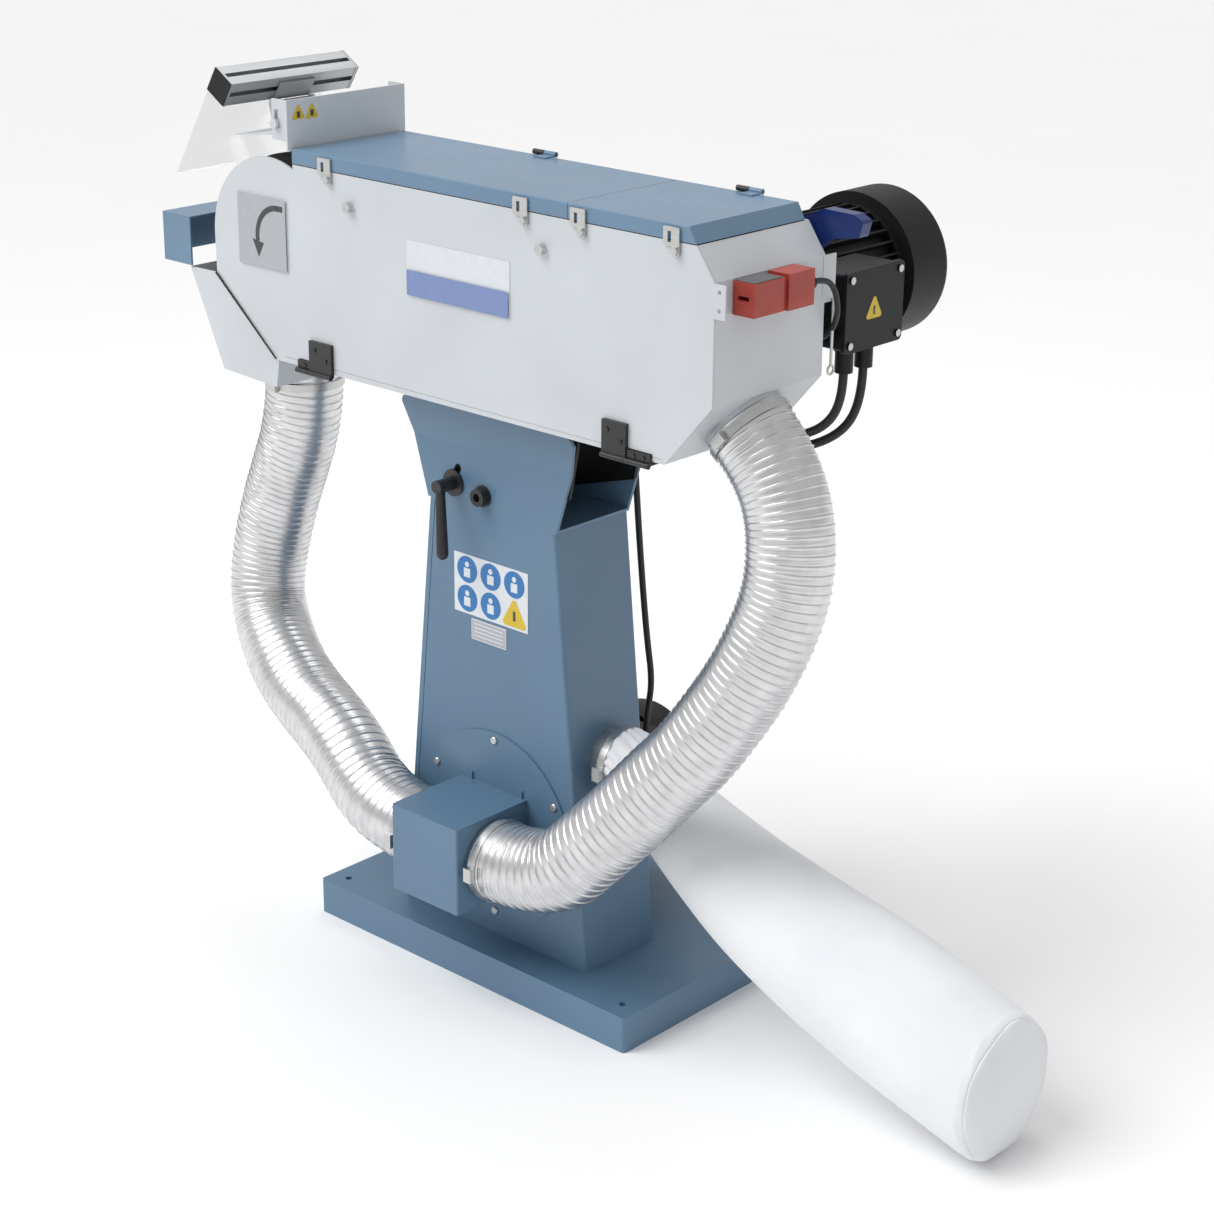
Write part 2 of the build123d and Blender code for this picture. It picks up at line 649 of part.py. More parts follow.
def chute():
    """The white hopper under the contact wheel, with the left hose spigot."""
    mouth_left = (-602, 1003)
    low_left = (-532, 854)
    low_right = (-409, 848)
    wall = 2
    front = CASE_FRONT_Y + 0.6
    face = outline(mouth_left, low_left, low_right, CASE_CORNER, NOSE_FOOT)
    sides = across(face, front, front + wall) + across(face, CASE_BACK_Y - wall, CASE_BACK_Y)
    shell = across(band([mouth_left, low_left, low_right, CASE_CORNER], wall), front, CASE_BACK_Y)
    floor_z = 851
    spigot = Pos(-472, -104, floor_z - 18) * Cylinder(SPIGOT_R, 2 * 18)
    bore = Pos(-472, -104, floor_z - 12) * Cylinder(SPIGOT_R - SPIGOT_WALL, 60)
    return sides + shell + spigot - bore


def head_clamps():
    """The two hose clamps on the head's spigots."""
    normal = chamfer_normal()
    middle = Vector((CHAMFER_LOW[0] + CHAMFER_HIGH[0]) / 2, -104, (CHAMFER_LOW[1] + CHAMFER_HIGH[1]) / 2)
    right = clamp_band(middle + normal * 12, normal, HOSE_R + HOSE_FIT)
    left = clamp_band((-472, -104, 822), (0, 0, 1), HOSE_R + HOSE_FIT)
    return left + right


def platen():
    """The flat steel table behind the belt's top run, on two arms from the back plate."""
    top = 1188
    table = block(-300, 230, BELT_FRONT_Y, BELT_BACK_Y, top - 8, top)
    for x in (-240, 160):
        table += block(x, x + 40, BELT_FRONT_Y + 40, CASE_BACK_Y, top - 33, top - 8)
    return table


def tangent(first, second):
    """The outer tangent of two circles (x, z, r), on the right of the way from one to the other."""
    dx = second[0] - first[0]
    dz = second[1] - first[1]
    length = math.hypot(dx, dz)
    a = (first[2] - second[2]) / length
    b = math.sqrt(1 - a * a)
    nx = (a * dx + b * dz) / length
    nz = (a * dz - b * dx) / length
    ends = [(x + r * nx, z + r * nz) for x, z, r in (first, second)]
    return ends, math.atan2(nz, nx)


def belt_circles(roller_x, grow):
    return [
        (WHEEL_X, WHEEL_Z, WHEEL_R + grow), (PULLEY_X, PULLEY_Z, PULLEY_R + grow),
        (roller_x, ROLLER_Z, ROLLER_R + grow),
    ]


def belt_run(circles):
    """Tangent lines and arcs round the circles, and their whole length."""
    tangents = [tangent(circles[i], circles[(i + 1) % 3]) for i in range(3)]
    edges = []
    total = 0
    for i, (ends, angle) in enumerate(tangents):
        edges.append(Line(*ends))
        total += math.dist(*ends)
        x, z, r = circles[(i + 1) % 3]
        next_ends, next_angle = tangents[(i + 1) % 3]
        sweep_angle = (next_angle - angle) % (2 * math.pi)
        middle = angle + sweep_angle / 2
        via = (x + r * math.cos(middle), z + r * math.sin(middle))
        edges.append(ThreePointArc(ends[1], via, next_ends[0]))
        total += r * sweep_angle
    return edges, total


def roller_place():
    """The roller's X where the belt's loop closes at its nominal length."""
    low = PULLEY_X
    high = PULLEY_X + 150
    for _ in range(40):
        middle = (low + high) / 2
        _, total = belt_run(belt_circles(middle, GAP + BELT_T / 2))
        if total < BELT_LENGTH:
            low = middle
        else:
            high = middle
    return low


ROLLER_X = roller_place()


def sanding_belt():
    """The endless abrasive belt round the wheel, the pulley and the roller."""
    outer_edges, _ = belt_run(belt_circles(ROLLER_X, GAP + BELT_T))
    inner_edges, _ = belt_run(belt_circles(ROLLER_X, GAP))
    loop = make_face(Curve() + outer_edges) - make_face(Curve() + inner_edges)
    return across(loop, BELT_FRONT_Y, BELT_BACK_Y)


def contact_axle():
    """The contact wheel's fixed axle with its nut behind the back plate."""
    axle = rod_y(WHEEL_X, WHEEL_Z, AXLE_R, BELT_FRONT_Y - 8, HEAD_BACK_Y)
    axle += rod_y(WHEEL_X, WHEEL_Z, 26, CASE_BACK_Y - 12, CASE_BACK_Y)
    axle += hex_y(WHEEL_X, WHEEL_Z, 24, HEAD_BACK_Y, HEAD_BACK_Y + 16)
    return axle


def contact_wheel():
    """The aluminium wheel: rim, web with lightening holes, and hub."""
    rim_r = WHEEL_R - TYRE_T
    back = BELT_BACK_Y + 3
    front = BELT_FRONT_Y - 3
    middle = (front + back) / 2
    wheel = ring_y(WHEEL_X, WHEEL_Z, rim_r, rim_r - 12, front, back)
    wheel += ring_y(WHEEL_X, WHEEL_Z, rim_r - 11, AXLE_R + RUN, middle - 7, middle + 7)
    wheel += ring_y(WHEEL_X, WHEEL_Z, 34, AXLE_R + RUN, front + 12, back - 4)
    for index in range(5):
        angle = math.radians(90 + 72 * index)
        x = WHEEL_X + 65 * math.cos(angle)
        z = WHEEL_Z + 65 * math.sin(angle)
        wheel -= rod_y(x, z, 17, middle - 8, middle + 8)
    return wheel


def contact_tyre():
    """The rubber tyre that the belt runs on."""
    return ring_y(WHEEL_X, WHEEL_Z, WHEEL_R, WHEEL_R - TYRE_T, BELT_FRONT_Y - 3, BELT_BACK_Y + 3)


def motor_shaft():
    return rod_y(PULLEY_X, PULLEY_Z, MOTOR_SHAFT_R, BELT_FRONT_Y - 2, COWL_END_Y - 25)


def drive_pulley():
    """The steel drive pulley, webbed in the middle."""
    front = BELT_FRONT_Y - 2
    back = BELT_BACK_Y + 2
    pulley = ring_y(PULLEY_X, PULLEY_Z, PULLEY_R, PULLEY_R - 9, front, back)
    pulley += ring_y(PULLEY_X, PULLEY_Z, PULLEY_R - 8, MOTOR_SHAFT_R, -110, -98)
    pulley += ring_y(PULLEY_X, PULLEY_Z, 26, MOTOR_SHAFT_R, front + 20, back - 10)
    return pulley


def motor_fan():
    """The cooling fan inside the drive motor's cowl."""
    y0 = MOTOR_END_Y + 12
    fan = ring_y(PULLEY_X, PULLEY_Z, 28, MOTOR_SHAFT_R, y0, y0 + 40)
    for index in range(8):
        blade = Rot(0, 0, 45 * index) * (Pos(60, 0) * Rectangle(72, 3))
        fan += across(Pos(PULLEY_X, PULLEY_Z) * blade, y0 + 4, y0 + 38)
    return fan


def motor_frame():
    """The drive motor's finned barrel between its two end shields."""
    bore = MOTOR_SHAFT_R + RUN
    rear = MOTOR_END_Y - SHIELD_T
    frame = finned(PULLEY_X, PULLEY_Z, MOTOR_CORE_R, MOTOR_R, bore, 32, HEAD_BACK_Y + SHIELD_T, rear)
    frame += ring_y(PULLEY_X, PULLEY_Z, MOTOR_R - 2, bore, HEAD_BACK_Y, HEAD_BACK_Y + SHIELD_T)
    frame += ring_y(PULLEY_X, PULLEY_Z, MOTOR_R - 2, bore, rear, MOTOR_END_Y)
    return frame


def motor_cowl():
    """The fan cowl with its rolled rim and slotted end."""
    cowl = rod_y(PULLEY_X, PULLEY_Z, COWL_R, MOTOR_END_Y, COWL_END_Y)
    cowl = fillet(cowl.faces().sort_by(Axis.Y)[-1].edges(), 10)
    cowl -= rod_y(PULLEY_X, PULLEY_Z, COWL_R - 2.5, MOTOR_END_Y - 1, COWL_END_Y - 12)
    cowl -= rod_y(PULLEY_X, PULLEY_Z, COWL_R - 12, COWL_END_Y - 13, COWL_END_Y - 3)
    cowl += ring_y(PULLEY_X, PULLEY_Z, COWL_R - 1, MOTOR_R - 2, MOTOR_END_Y, MOTOR_END_Y + 3)
    for index in range(16):
        slot = Rot(0, 0, 22.5 * index) * (Pos(62, 0) * Rectangle(56, 8))
        cowl -= across(Pos(PULLEY_X, PULLEY_Z) * slot, COWL_END_Y - 6, COWL_END_Y + 1)
    return cowl


def terminal_box():
    """The motor's terminal box with its lid screws on the right side."""
    x0 = PULLEY_X + MOTOR_CORE_R + 6
    box = block(x0, 433, 72, 197, 1004, 1111)
    box = fillet(box.edges().filter_by(Axis.X), 6)
    lid = block(433, 440, 69, 200, 1001, 1114)
    lid = fillet(lid.edges().filter_by(Axis.X), 8)
    box += lid
    for y in (80, 189):
        for z in (1012, 1103):
            box += rod_x(y, z, 5, 440, 442.5)
    box -= rod_y(PULLEY_X, PULLEY_Z, MOTOR_R + 0.2, 60, 210)
    return box


def cable_glands():
    """The plastic glands where cables enter the boxes and the switch."""
    glands = Part()
    for y in (110, 155):
        glands += Pos(410, y, 984.5) * Cylinder(13, 39)
        glands += Pos(410, y, 996) * extrude(RegularPolygon(16, 6), amount=5)
    for x, y in ((125, 55), (98, 70), (70, 55)):
        glands += Pos(x, y, 938) * Cylinder(11, 16)
    glands += rod_y(466, 1126, 9, -59, -43) + rod_y(415, 1026, 8, 60, 72)
    return glands


def control_box():
    """The switchgear box on two standoffs behind the casing."""
    box = block(20, 150, 26, 96, 946, 1090)
    box = fillet(box.edges().filter_by(Axis.Y), 6)
    for z in (960, 1060):
        box += block(60, 110, HEAD_BACK_Y, 26, z, z + 14)
    for x in (60, 110):
        box -= rod_y(x, 1050, 13 + GAP, 80, 97)
    return box


def button(x, r):
    """A push button standing out of the control box's rear face."""
    return rod_y(x, 1050, r, 86, 104)


def interlock_switch():
    """The red safety switch on the casing's end wall."""
    x0 = CASE_RIGHT_X
    switch = block(x0, x0 + 35, -182, -122, 1104, 1148)
    switch += block(x0, x0 + 31, -122, -112, 1106, 1144)
    switch += block(x0, x0 + 35, -112, -59, 1102, 1150)
    switch -= block(x0 + 8, x0 + 26, -183, -168, 1124, 1130)
    return switch


def interlock_tab():
    """The perforated bracket on the cover's edge that works the switch."""
    y0 = COVER_FRONT_Y
    tab = block(CASE_RIGHT_X - 3, CASE_RIGHT_X + 19, y0 - 2, y0, 1105, 1150)
    for z in (1116, 1140):
        tab -= rod_y(CASE_RIGHT_X + 9, z, 3, y0 - 3, y0 + 1)
    return tab


def front_cover():
    """The big hinged side cover, notched where its hinge brackets stand."""
    cover = across(casing_face(), COVER_FRONT_Y, COVER_FRONT_Y + COVER_T)
    for near, far, end in COVER_HINGES:
        joint = near if end < near else far
        low = min(joint, end) - NOTCH_GAP
        high = max(joint, end) + NOTCH_GAP
        cover -= block(low, high, COVER_FRONT_Y - 1, COVER_FRONT_Y + COVER_T + 1, CASE_BOTTOM_Z - 1, NOTCH_TOP_Z)
    cover -= block(-380, 368, COVER_FRONT_Y - 1, COVER_FRONT_Y + 0.8, 901, 902)
    for x in LATCH_XS:
        cover -= rod_y(x + 8, LATCH_Z0 + 7, 3 + RUN, COVER_FRONT_Y - 1, COVER_FRONT_Y + COVER_T + 1)
    return cover


def knuckle(x0, x1, y, z, r, pin):
    return rod_x(y, z, r, x0, x1) - rod_x(y, z, pin, x0 - 1, x1 + 1)


def cover_hinge_leaves():
    """The black leaves on the cover, with the knuckles that turn."""
    leaves = Part()
    for near, far, end in COVER_HINGES:
        leaf = block(near, far, COVER_HINGE_Y, COVER_FRONT_Y, COVER_HINGE_Z, 938)
        leaf -= rod_x(COVER_HINGE_Y, COVER_HINGE_Z, HINGE_PIN_R + RUN, near - 1, far + 1)
        leaves += leaf + knuckle(near, far, COVER_HINGE_Y, COVER_HINGE_Z, COVER_HINGE_R, HINGE_PIN_R + RUN)
        middle = (near + far) / 2
        for x, z in ((middle - 12, 925), (middle + 12, 912)):
            leaves += rod_y(x, z, 3.5, COVER_HINGE_Y - 1.5, COVER_HINGE_Y)
    return leaves


def hinge_brackets():
    """The fixed halves of the cover's and the lids' hinges, with their pins."""
    brackets = Part()
    for near, far, end in COVER_HINGES:
        if end > far:
            x0, x1, free = far + 0.5, end, near
        else:
            x0, x1, free = end, near - 0.5, far
        plate = block(x0, x1, COVER_HINGE_Y + 2, COVER_FRONT_Y - 0.3, COVER_HINGE_Z, NOTCH_TOP_Z - 1)
        foot = block(x0, x1, COVER_HINGE_Y + 2, -190, CASE_BOTTOM_Z - 4, CASE_BOTTOM_Z)
        pin = rod_x(COVER_HINGE_Y, COVER_HINGE_Z, HINGE_PIN_R, min(x0, free), max(x1, free))
        brackets += plate + foot + rod_x(COVER_HINGE_Y, COVER_HINGE_Z, COVER_HINGE_R, x0, x1) + pin
        for x in (x0 + 12, x1 - 12):
            brackets += rod_y(x, NOTCH_TOP_Z - 7, 3.5, COVER_HINGE_Y + 0.5, COVER_HINGE_Y + 2)
    for x in LID_HINGES:
        half = HINGE_LENGTH / 2
        strap = block(x - half, x + half, HEAD_BACK_Y, HEAD_BACK_Y + 2, 1172, LID_HINGE_Z)
        strap += rod_x(LID_HINGE_Y, LID_HINGE_Z, LID_HINGE_R, x - half, x - 0.5)
        strap -= block(x - 0.5, x + half + 1, LID_HINGE_Y, HEAD_BACK_Y + 3, LID_HINGE_Z - 6, LID_HINGE_Z + 6)
        strap += rod_x(LID_HINGE_Y, LID_HINGE_Z, HINGE_PIN_R, x - half, x + half)
        brackets += strap
    return brackets


def lid(x0, x1_top, x1_low, hinge_x, closed_end):
    """A folded lid: a top, a front lip, a sloped end lip, and its welded hinge leaf."""
    face = outline((LID_FRONT_Y, LID_BOTTOM_Z), (LID_FRONT_Y, LID_TOP_Z), (LID_BACK_Y, LID_TOP_Z),
                   (LID_BACK_Y, LID_TOP_Z - LID_T), (LID_FRONT_Y + LID_T, LID_TOP_Z - LID_T),
                   (LID_FRONT_Y + LID_T, LID_BOTTOM_Z))
    tray = along(face, x0, max(x1_top, x1_low))
    if closed_end:
        slope = x1_low - x1_top
        reach = 1 + slope / (LID_TOP_Z - LID_BOTTOM_Z)
        outside = outline((x1_top - reach + 1, LID_TOP_Z + 1), (x1_low + slope, LID_TOP_Z + 1),
                          (x1_low + slope, LID_BOTTOM_Z - 1), (x1_low + reach - 1, LID_BOTTOM_Z - 1))
        end = outline((x1_top - LID_T, LID_TOP_Z), (x1_top, LID_TOP_Z), (x1_low, LID_BOTTOM_Z),
                      (x1_low - LID_T, LID_BOTTOM_Z))
        tray -= across(outside, LID_FRONT_Y - 1, LID_BACK_Y + 1)
        tray += across(end, LID_FRONT_Y, LID_BACK_Y)
    front_edge = tray.edges().filter_by(Axis.X).group_by(Axis.Z)[-1].sort_by(Axis.Y)[0]
    tray = fillet(front_edge, 2)
    x = hinge_x + 0.5
    half = HINGE_LENGTH / 2
    leaf = block(x, hinge_x + half, -16, LID_HINGE_Y, LID_TOP_Z, LID_TOP_Z + 2)
    tray += leaf + rod_x(LID_HINGE_Y, LID_HINGE_Z, LID_HINGE_R, x, hinge_x + half)
    tray -= rod_x(LID_HINGE_Y, LID_HINGE_Z, HINGE_PIN_R + RUN, x - 1, hinge_x + half + 1)
    return tray


def latch(x):
    """A turn clip on its own bolt, which holds a lid's front lip."""
    y1 = LID_FRONT_Y - 0.6
    y0 = y1 - LATCH_T
    clip = block(x - LATCH_W / 2, x + LATCH_W / 2, y0, y1, LATCH_Z0 + 12, LATCH_Z1)
    clip += block(x + 1, x + LATCH_W / 2, y0, y1, LATCH_Z0, LATCH_Z0 + 12)
    clip = fillet(clip.edges().filter_by(Axis.Y), 2.5)
    clip -= block(x - 6, x, y0 - 1, y1 + 1, LATCH_Z0 + 17, LATCH_Z0 + 31)
    clip += rod_y(x + 8, LATCH_Z0 + 7, 3, y0, COVER_FRONT_Y + COVER_T)
    clip += hex_y(x + 8, LATCH_Z0 + 7, 6, y0 - 5, y0)
    return clip


def cover_plates():
    """The name plate and the belt-direction plate, both blank here."""
    front = COVER_FRONT_Y
    name = block(-113, 88, front - 1, front, 1041, 1120)
    arrow = block(-476, -368, front - 1, front, 1031, 1138)
    bolts = hex_y(-230, 1149, 8, front - 7, front) + hex_y(149, 1148, 8, front - 7, front)
    return name + arrow + bolts


# ---------------------------------------------------------------- guards and rest


def spark_flap():
    """The fixed spark shelf above the belt, with its cheeks, strap and guard bolts."""
    flap = across(band([FLAP_TIP, FLAP_ROOT], 2), COVER_FRONT_Y + 1, CASE_BACK_Y)
    front_y = COVER_FRONT_Y - 1
    for y0, y1, bolt0, bolt1 in (
        (front_y, front_y + 2, -230, front_y), (CASE_BACK_Y - 3, CASE_BACK_Y, CASE_BACK_Y, 16),
    ):
        flap += across(outline((-390, 1231), (-364, 1234), (-364, 1266), (-390, 1266)), y0, y1)
        flap += rod_y(GUARD_BOLT_X, GUARD_BOLT_Z, 4, bolt0, bolt1)
    flap += block(-390, -364, CASE_BACK_Y - 3, CASE_BACK_Y, 1140, 1240)
    flap += block(-470, -364, front_y, COVER_FRONT_Y + 2, 1228, 1231) & across(
        band([FLAP_TIP, FLAP_ROOT], 2), front_y, COVER_FRONT_Y + 2)
    heads = hex_y(GUARD_BOLT_X, GUARD_BOLT_Z, 8, -230, -225) + hex_y(GUARD_BOLT_X, GUARD_BOLT_Z, 8, 11.5, 16)
    return flap + heads


def guard_plate():
    """The white plate above the lids, adjustable on two slotted ears."""
    plate = block(GUARD_X0, GUARD_X1, -223, 9.5, GUARD_Z0, GUARD_Z1)
    for y0 in (-223, 7):
        ear = block(EAR_X0, GUARD_X0, y0, y0 + 2.5, 1226, GUARD_Z1)
        slot = block(GUARD_BOLT_X - 4.5, GUARD_BOLT_X + 4.5, y0 - 1, y0 + 4, GUARD_BOLT_Z - 6, GUARD_BOLT_Z + GUARD_DROP + 6)
        plate += ear - slot
    return plate


def turned_square(size):
    return Pos(PROFILE_X, PROFILE_Z) * Rot(0, 0, PROFILE_TURN) * Rectangle(size, size)


def on_profile(left, right, low, high):
    """A strip that turns with the profile, placed from the profile's centre."""
    strip = Pos((left + right) / 2, (low + high) / 2) * Rectangle(right - left, high - low)
    return Pos(PROFILE_X, PROFILE_Z) * Rot(0, 0, PROFILE_TURN) * strip


def visor_frame():
    """The slotted aluminium profile with its end caps and the moving hinge leaf."""
    y0 = COVER_FRONT_Y - 12
    y1 = HEAD_BACK_Y
    face = turned_square(PROFILE_SIZE)
    for turn in (0, 90, 180, 270):
        slot = Rot(0, 0, PROFILE_TURN + turn) * (Pos(PROFILE_SIZE / 2 - 4, 0) * Rectangle(9, 8))
        face -= Pos(PROFILE_X, PROFILE_Z) * slot
    frame = across(face, y0, y1)
    frame += across(turned_square(PROFILE_SIZE + 1), y0 - 4, y0) + across(turned_square(PROFILE_SIZE + 1), y1, y1 + 4)
    leaf = on_profile(PROFILE_SIZE / 2, PROFILE_SIZE / 2 + 3, -19, 12)
    frame += across(leaf, -139.5, -70.5) + rod_y(VISOR_X, VISOR_Z, 5, -139.5, -70.5)
    frame -= rod_y(VISOR_X, VISOR_Z, 2 + RUN, -140, -70)
    return frame


def visor_sheet():
    """The clear polycarbonate visor screwed to the profile's front face."""
    half = PROFILE_SIZE / 2
    sheet = on_profile(-half - 3, -half, -VISOR_DROP, 14)
    return across(sheet, COVER_FRONT_Y - 12, HEAD_BACK_Y)


def visor_hinge():
    """The visor's fixed hinge ears and pin, on the tip of the spark shelf."""
    hinge = Part()
    ear = outline((-475, 1222.3), (-455, 1224.9), (VISOR_X + 7, VISOR_Z), (VISOR_X - 7, VISOR_Z))
    for y0 in (-146, -70):
        hinge += across(ear, y0, y0 + 6) + rod_y(VISOR_X, VISOR_Z, 7, y0, y0 + 6)
    hinge += rod_y(VISOR_X, VISOR_Z, 2, -146, -64)
    return hinge


def work_rest():
    """The blue grinding rest: a folded tray on a slotted arm behind the back plate."""
    front = COVER_FRONT_Y
    back = HEAD_BACK_Y
    tray = block(REST_X0, REST_X1, front, back + 12, REST_Z1 - REST_T, REST_Z1)
    tray += block(REST_X0, REST_X1, front, front + REST_T, REST_Z0, REST_Z1)
    tray += block(REST_X0, REST_X0 + REST_T, front, back + 12, REST_Z0 + 10, REST_Z1)
    arm = block(REST_X0, -480, back + 0.5, back + 10.5, REST_BOLT_Z - 18, REST_BOLT_Z + 18)
    web = block(REST_X0, REST_X1, back + 0.5, back + 10.5, REST_BOLT_Z, REST_Z1 - 1)
    low = REST_BOLT_X - REST_TRAVEL - 6
    arm -= block(low, REST_BOLT_X + 6, back - 1, back + 12, REST_BOLT_Z - 5.5, REST_BOLT_Z + 5.5)
    return tray + arm + web


def rest_bolt():
    """The clamping knob that holds the rest's arm."""
    bolt = rod_y(REST_BOLT_X, REST_BOLT_Z, 5, HEAD_BACK_Y, HEAD_BACK_Y + 14)
    bolt += rod_y(REST_BOLT_X, REST_BOLT_Z, 16, HEAD_BACK_Y + 11, HEAD_BACK_Y + 30)
    return bolt


# ---------------------------------------------------------------- tensioner


def tension_arm():
    """The inner arm with its shaft through the back plate and the roller's axle."""
    y0 = BELT_BACK_Y + 6
    y1 = y0 + 10
    arm = rod_y(TENSION_X, TENSION_Z, 18, y0, y1) + rod_y(ROLLER_X, ROLLER_Z, 14, y0, y1)
    dz = 13
    arm += across(outline((ROLLER_X, ROLLER_Z - dz), (TENSION_X, TENSION_Z - dz), (TENSION_X, TENSION_Z + dz),
                          (ROLLER_X, ROLLER_Z + dz)), y0, y1)
    arm += rod_y(TENSION_X, TENSION_Z, TENSION_SHAFT_R, y0, 24)
    arm += rod_y(ROLLER_X, ROLLER_Z, ROLLER_AXLE_R, BELT_FRONT_Y - 4, y1)
    return arm


def tension_roller():
    """The tracking roller that the lever swings against the belt."""
    return ring_y(ROLLER_X, ROLLER_Z, ROLLER_R, ROLLER_AXLE_R + RUN, BELT_FRONT_Y - 2, BELT_BACK_Y + 2)


def tension_lever():
    """The blue quick-release lever behind the casing."""
    y0 = 24
    y1 = 48
    lever = rod_y(TENSION_X, TENSION_Z, 26, y0, y1)
    grip = outline((TENSION_X - 8, TENSION_Z + 24), (TENSION_X + 34, TENSION_Z + 42), (478, 1206), (494, 1198),
                   (488, 1176), (440, 1168), (TENSION_X + 18, TENSION_Z - 18))
    grip = across(grip, y0 + 2, y1 - 2)
    grip = fillet(grip.edges().filter_by(Axis.Y), 5)
    return lever + grip


NODES = {
    "base_plate": base_plate(),
    "column": column(),
    "saddle": saddle(),
    "pivot_bolt": pivot_bolt(),
    "fan_housing": fan_housing() + exhaust_spigot(),
    "fan_cover": fan_cover(),
    "fan_cover_screws": fan_cover_screws(),
    "inlet_box": inlet_box(),
    "fan_motor": fan_motor(),
    "fan_shaft": fan_shaft(),
    "impeller": impeller(),
    "filter_bag": filter_bag(),
    "stand_clamps": stand_clamps(),
    "hose_left": tube("hose_left", HOSE_LEFT_ROUTE, HOSE_R, HOSE_R - HOSE_WALL),
    "hose_right": tube("hose_right", HOSE_RIGHT_ROUTE, HOSE_R, HOSE_R - HOSE_WALL),
    "fan_cable": tube("fan_cable", FAN_CABLE_ROUTE, FAN_CABLE_R),
    "column_plates": column_plates(),
    "tilt_bracket": tilt_bracket(),
    "clamp_lever": clamp_lever(),
    "back_plate": back_plate(),
    "case_wall": case_wall(),
    "chute": chute(),
    "head_clamps": head_clamps(),
    "platen": platen(),
    "sanding_belt": sanding_belt(),
    "contact_axle": contact_axle(),
    "contact_wheel": contact_wheel(),
    "contact_tyre": contact_tyre(),
    "motor_shaft": motor_shaft(),
    "drive_pulley": drive_pulley(),
    "motor_fan": motor_fan(),
    "motor_frame": motor_frame(),
    "motor_cowl": motor_cowl(),
    "terminal_box": terminal_box(),
    "cable_glands": cable_glands(),
    "motor_cables": Part() + [tube("motor_cable", route, MOTOR_CABLE_R) for route in MOTOR_CABLE_ROUTES],
    "switch_cable": tube("switch_cable", SWITCH_CABLE_ROUTE, SWITCH_CABLE_R),
    "control_box": control_box(),
    "start_button": button(60, 13),
    "stop_button": button(110, 13),
    "interlock_switch": interlock_switch(),
    "front_cover": front_cover() + interlock_tab(),
    "cover_hinge_leaves": cover_hinge_leaves(),
    "cover_plates": cover_plates(),
    "hinge_brackets": hinge_brackets(),
    "lid_left": lid(LID_LEFT_X, LID_SPLIT_X, LID_SPLIT_X, LID_HINGES[0], False),
    "lid_right": lid(LID_SPLIT_X + LID_SPLIT_GAP, LID_RIGHT_TOP_X, LID_RIGHT_LOW_X, LID_HINGES[1], True),
    "spark_flap": spark_flap() + visor_hinge(),
    "guard_plate": guard_plate(),
    "visor_frame": visor_frame(),
    "visor_sheet": visor_sheet(),
    "work_rest": work_rest(),
    "rest_bolt": rest_bolt(),
    "tension_arm": tension_arm(),
    "tension_roller": tension_roller(),
    "tension_lever": tension_lever(),
}
for number, latch_x in enumerate(LATCH_XS, 1):
    NODES[f"latch_{number}"] = latch(latch_x)

for name, shape in NODES.items():
    export_step(shape, f"parts/{name}.step")
print(len(NODES), "nodes, roller at x", round(ROLLER_X, 4))
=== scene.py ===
import math

import bpy
import numpy as np
from mathutils import Matrix, Vector


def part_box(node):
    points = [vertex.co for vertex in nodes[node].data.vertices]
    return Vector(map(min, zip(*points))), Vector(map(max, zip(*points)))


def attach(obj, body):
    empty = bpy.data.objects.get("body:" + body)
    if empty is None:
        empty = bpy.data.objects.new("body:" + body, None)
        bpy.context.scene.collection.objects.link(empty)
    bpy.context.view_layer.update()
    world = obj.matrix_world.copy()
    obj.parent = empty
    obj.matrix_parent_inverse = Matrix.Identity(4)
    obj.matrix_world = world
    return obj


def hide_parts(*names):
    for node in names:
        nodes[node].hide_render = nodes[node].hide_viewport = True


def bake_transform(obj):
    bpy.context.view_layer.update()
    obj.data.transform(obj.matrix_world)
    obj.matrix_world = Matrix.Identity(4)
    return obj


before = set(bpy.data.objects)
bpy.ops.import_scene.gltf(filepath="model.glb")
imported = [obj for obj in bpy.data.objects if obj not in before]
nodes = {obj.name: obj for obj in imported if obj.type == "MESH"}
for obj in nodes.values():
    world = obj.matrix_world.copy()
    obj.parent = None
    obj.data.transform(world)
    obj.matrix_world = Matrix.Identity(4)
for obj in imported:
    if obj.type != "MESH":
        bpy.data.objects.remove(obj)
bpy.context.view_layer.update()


# ---------------------------------------------------------------- camera and studio
# A long lens looks down on the front right corner, in a plain white studio with one
# broad soft light from the front left, helped by two softboxes.

CAMERA_PLACE = Vector((2.4208, -2.5991, 1.8711))
CAMERA_AZIMUTH = math.radians(42.07)
CAMERA_ELEVATION = math.radians(20.51)
CAMERA_ROLL = math.radians(0.66)
LENS_MM = 74.42
SENSOR_MM = 36
FAR_CLIP = 50

back = Vector((
    math.sin(CAMERA_AZIMUTH) * math.cos(CAMERA_ELEVATION),
    -math.cos(CAMERA_AZIMUTH) * math.cos(CAMERA_ELEVATION),
    math.sin(CAMERA_ELEVATION),
))
level_right = (-back).cross(Vector((0, 0, 1))).normalized()
level_up = level_right.cross(-back)
right = level_right * math.cos(CAMERA_ROLL) + level_up * math.sin(CAMERA_ROLL)
up = level_up * math.cos(CAMERA_ROLL) - level_right * math.sin(CAMERA_ROLL)
camera_data = bpy.data.cameras.new("camera")
camera_data.lens = LENS_MM
camera_data.sensor_width = SENSOR_MM
camera_data.clip_end = FAR_CLIP
camera = bpy.data.objects.new("camera", camera_data)
camera.matrix_world = Matrix.Translation(CAMERA_PLACE) @ Matrix((right, up, back)).transposed().to_4x4()
bpy.context.collection.objects.link(camera)
bpy.context.scene.camera = camera
bpy.context.scene.view_settings.view_transform = "Standard"

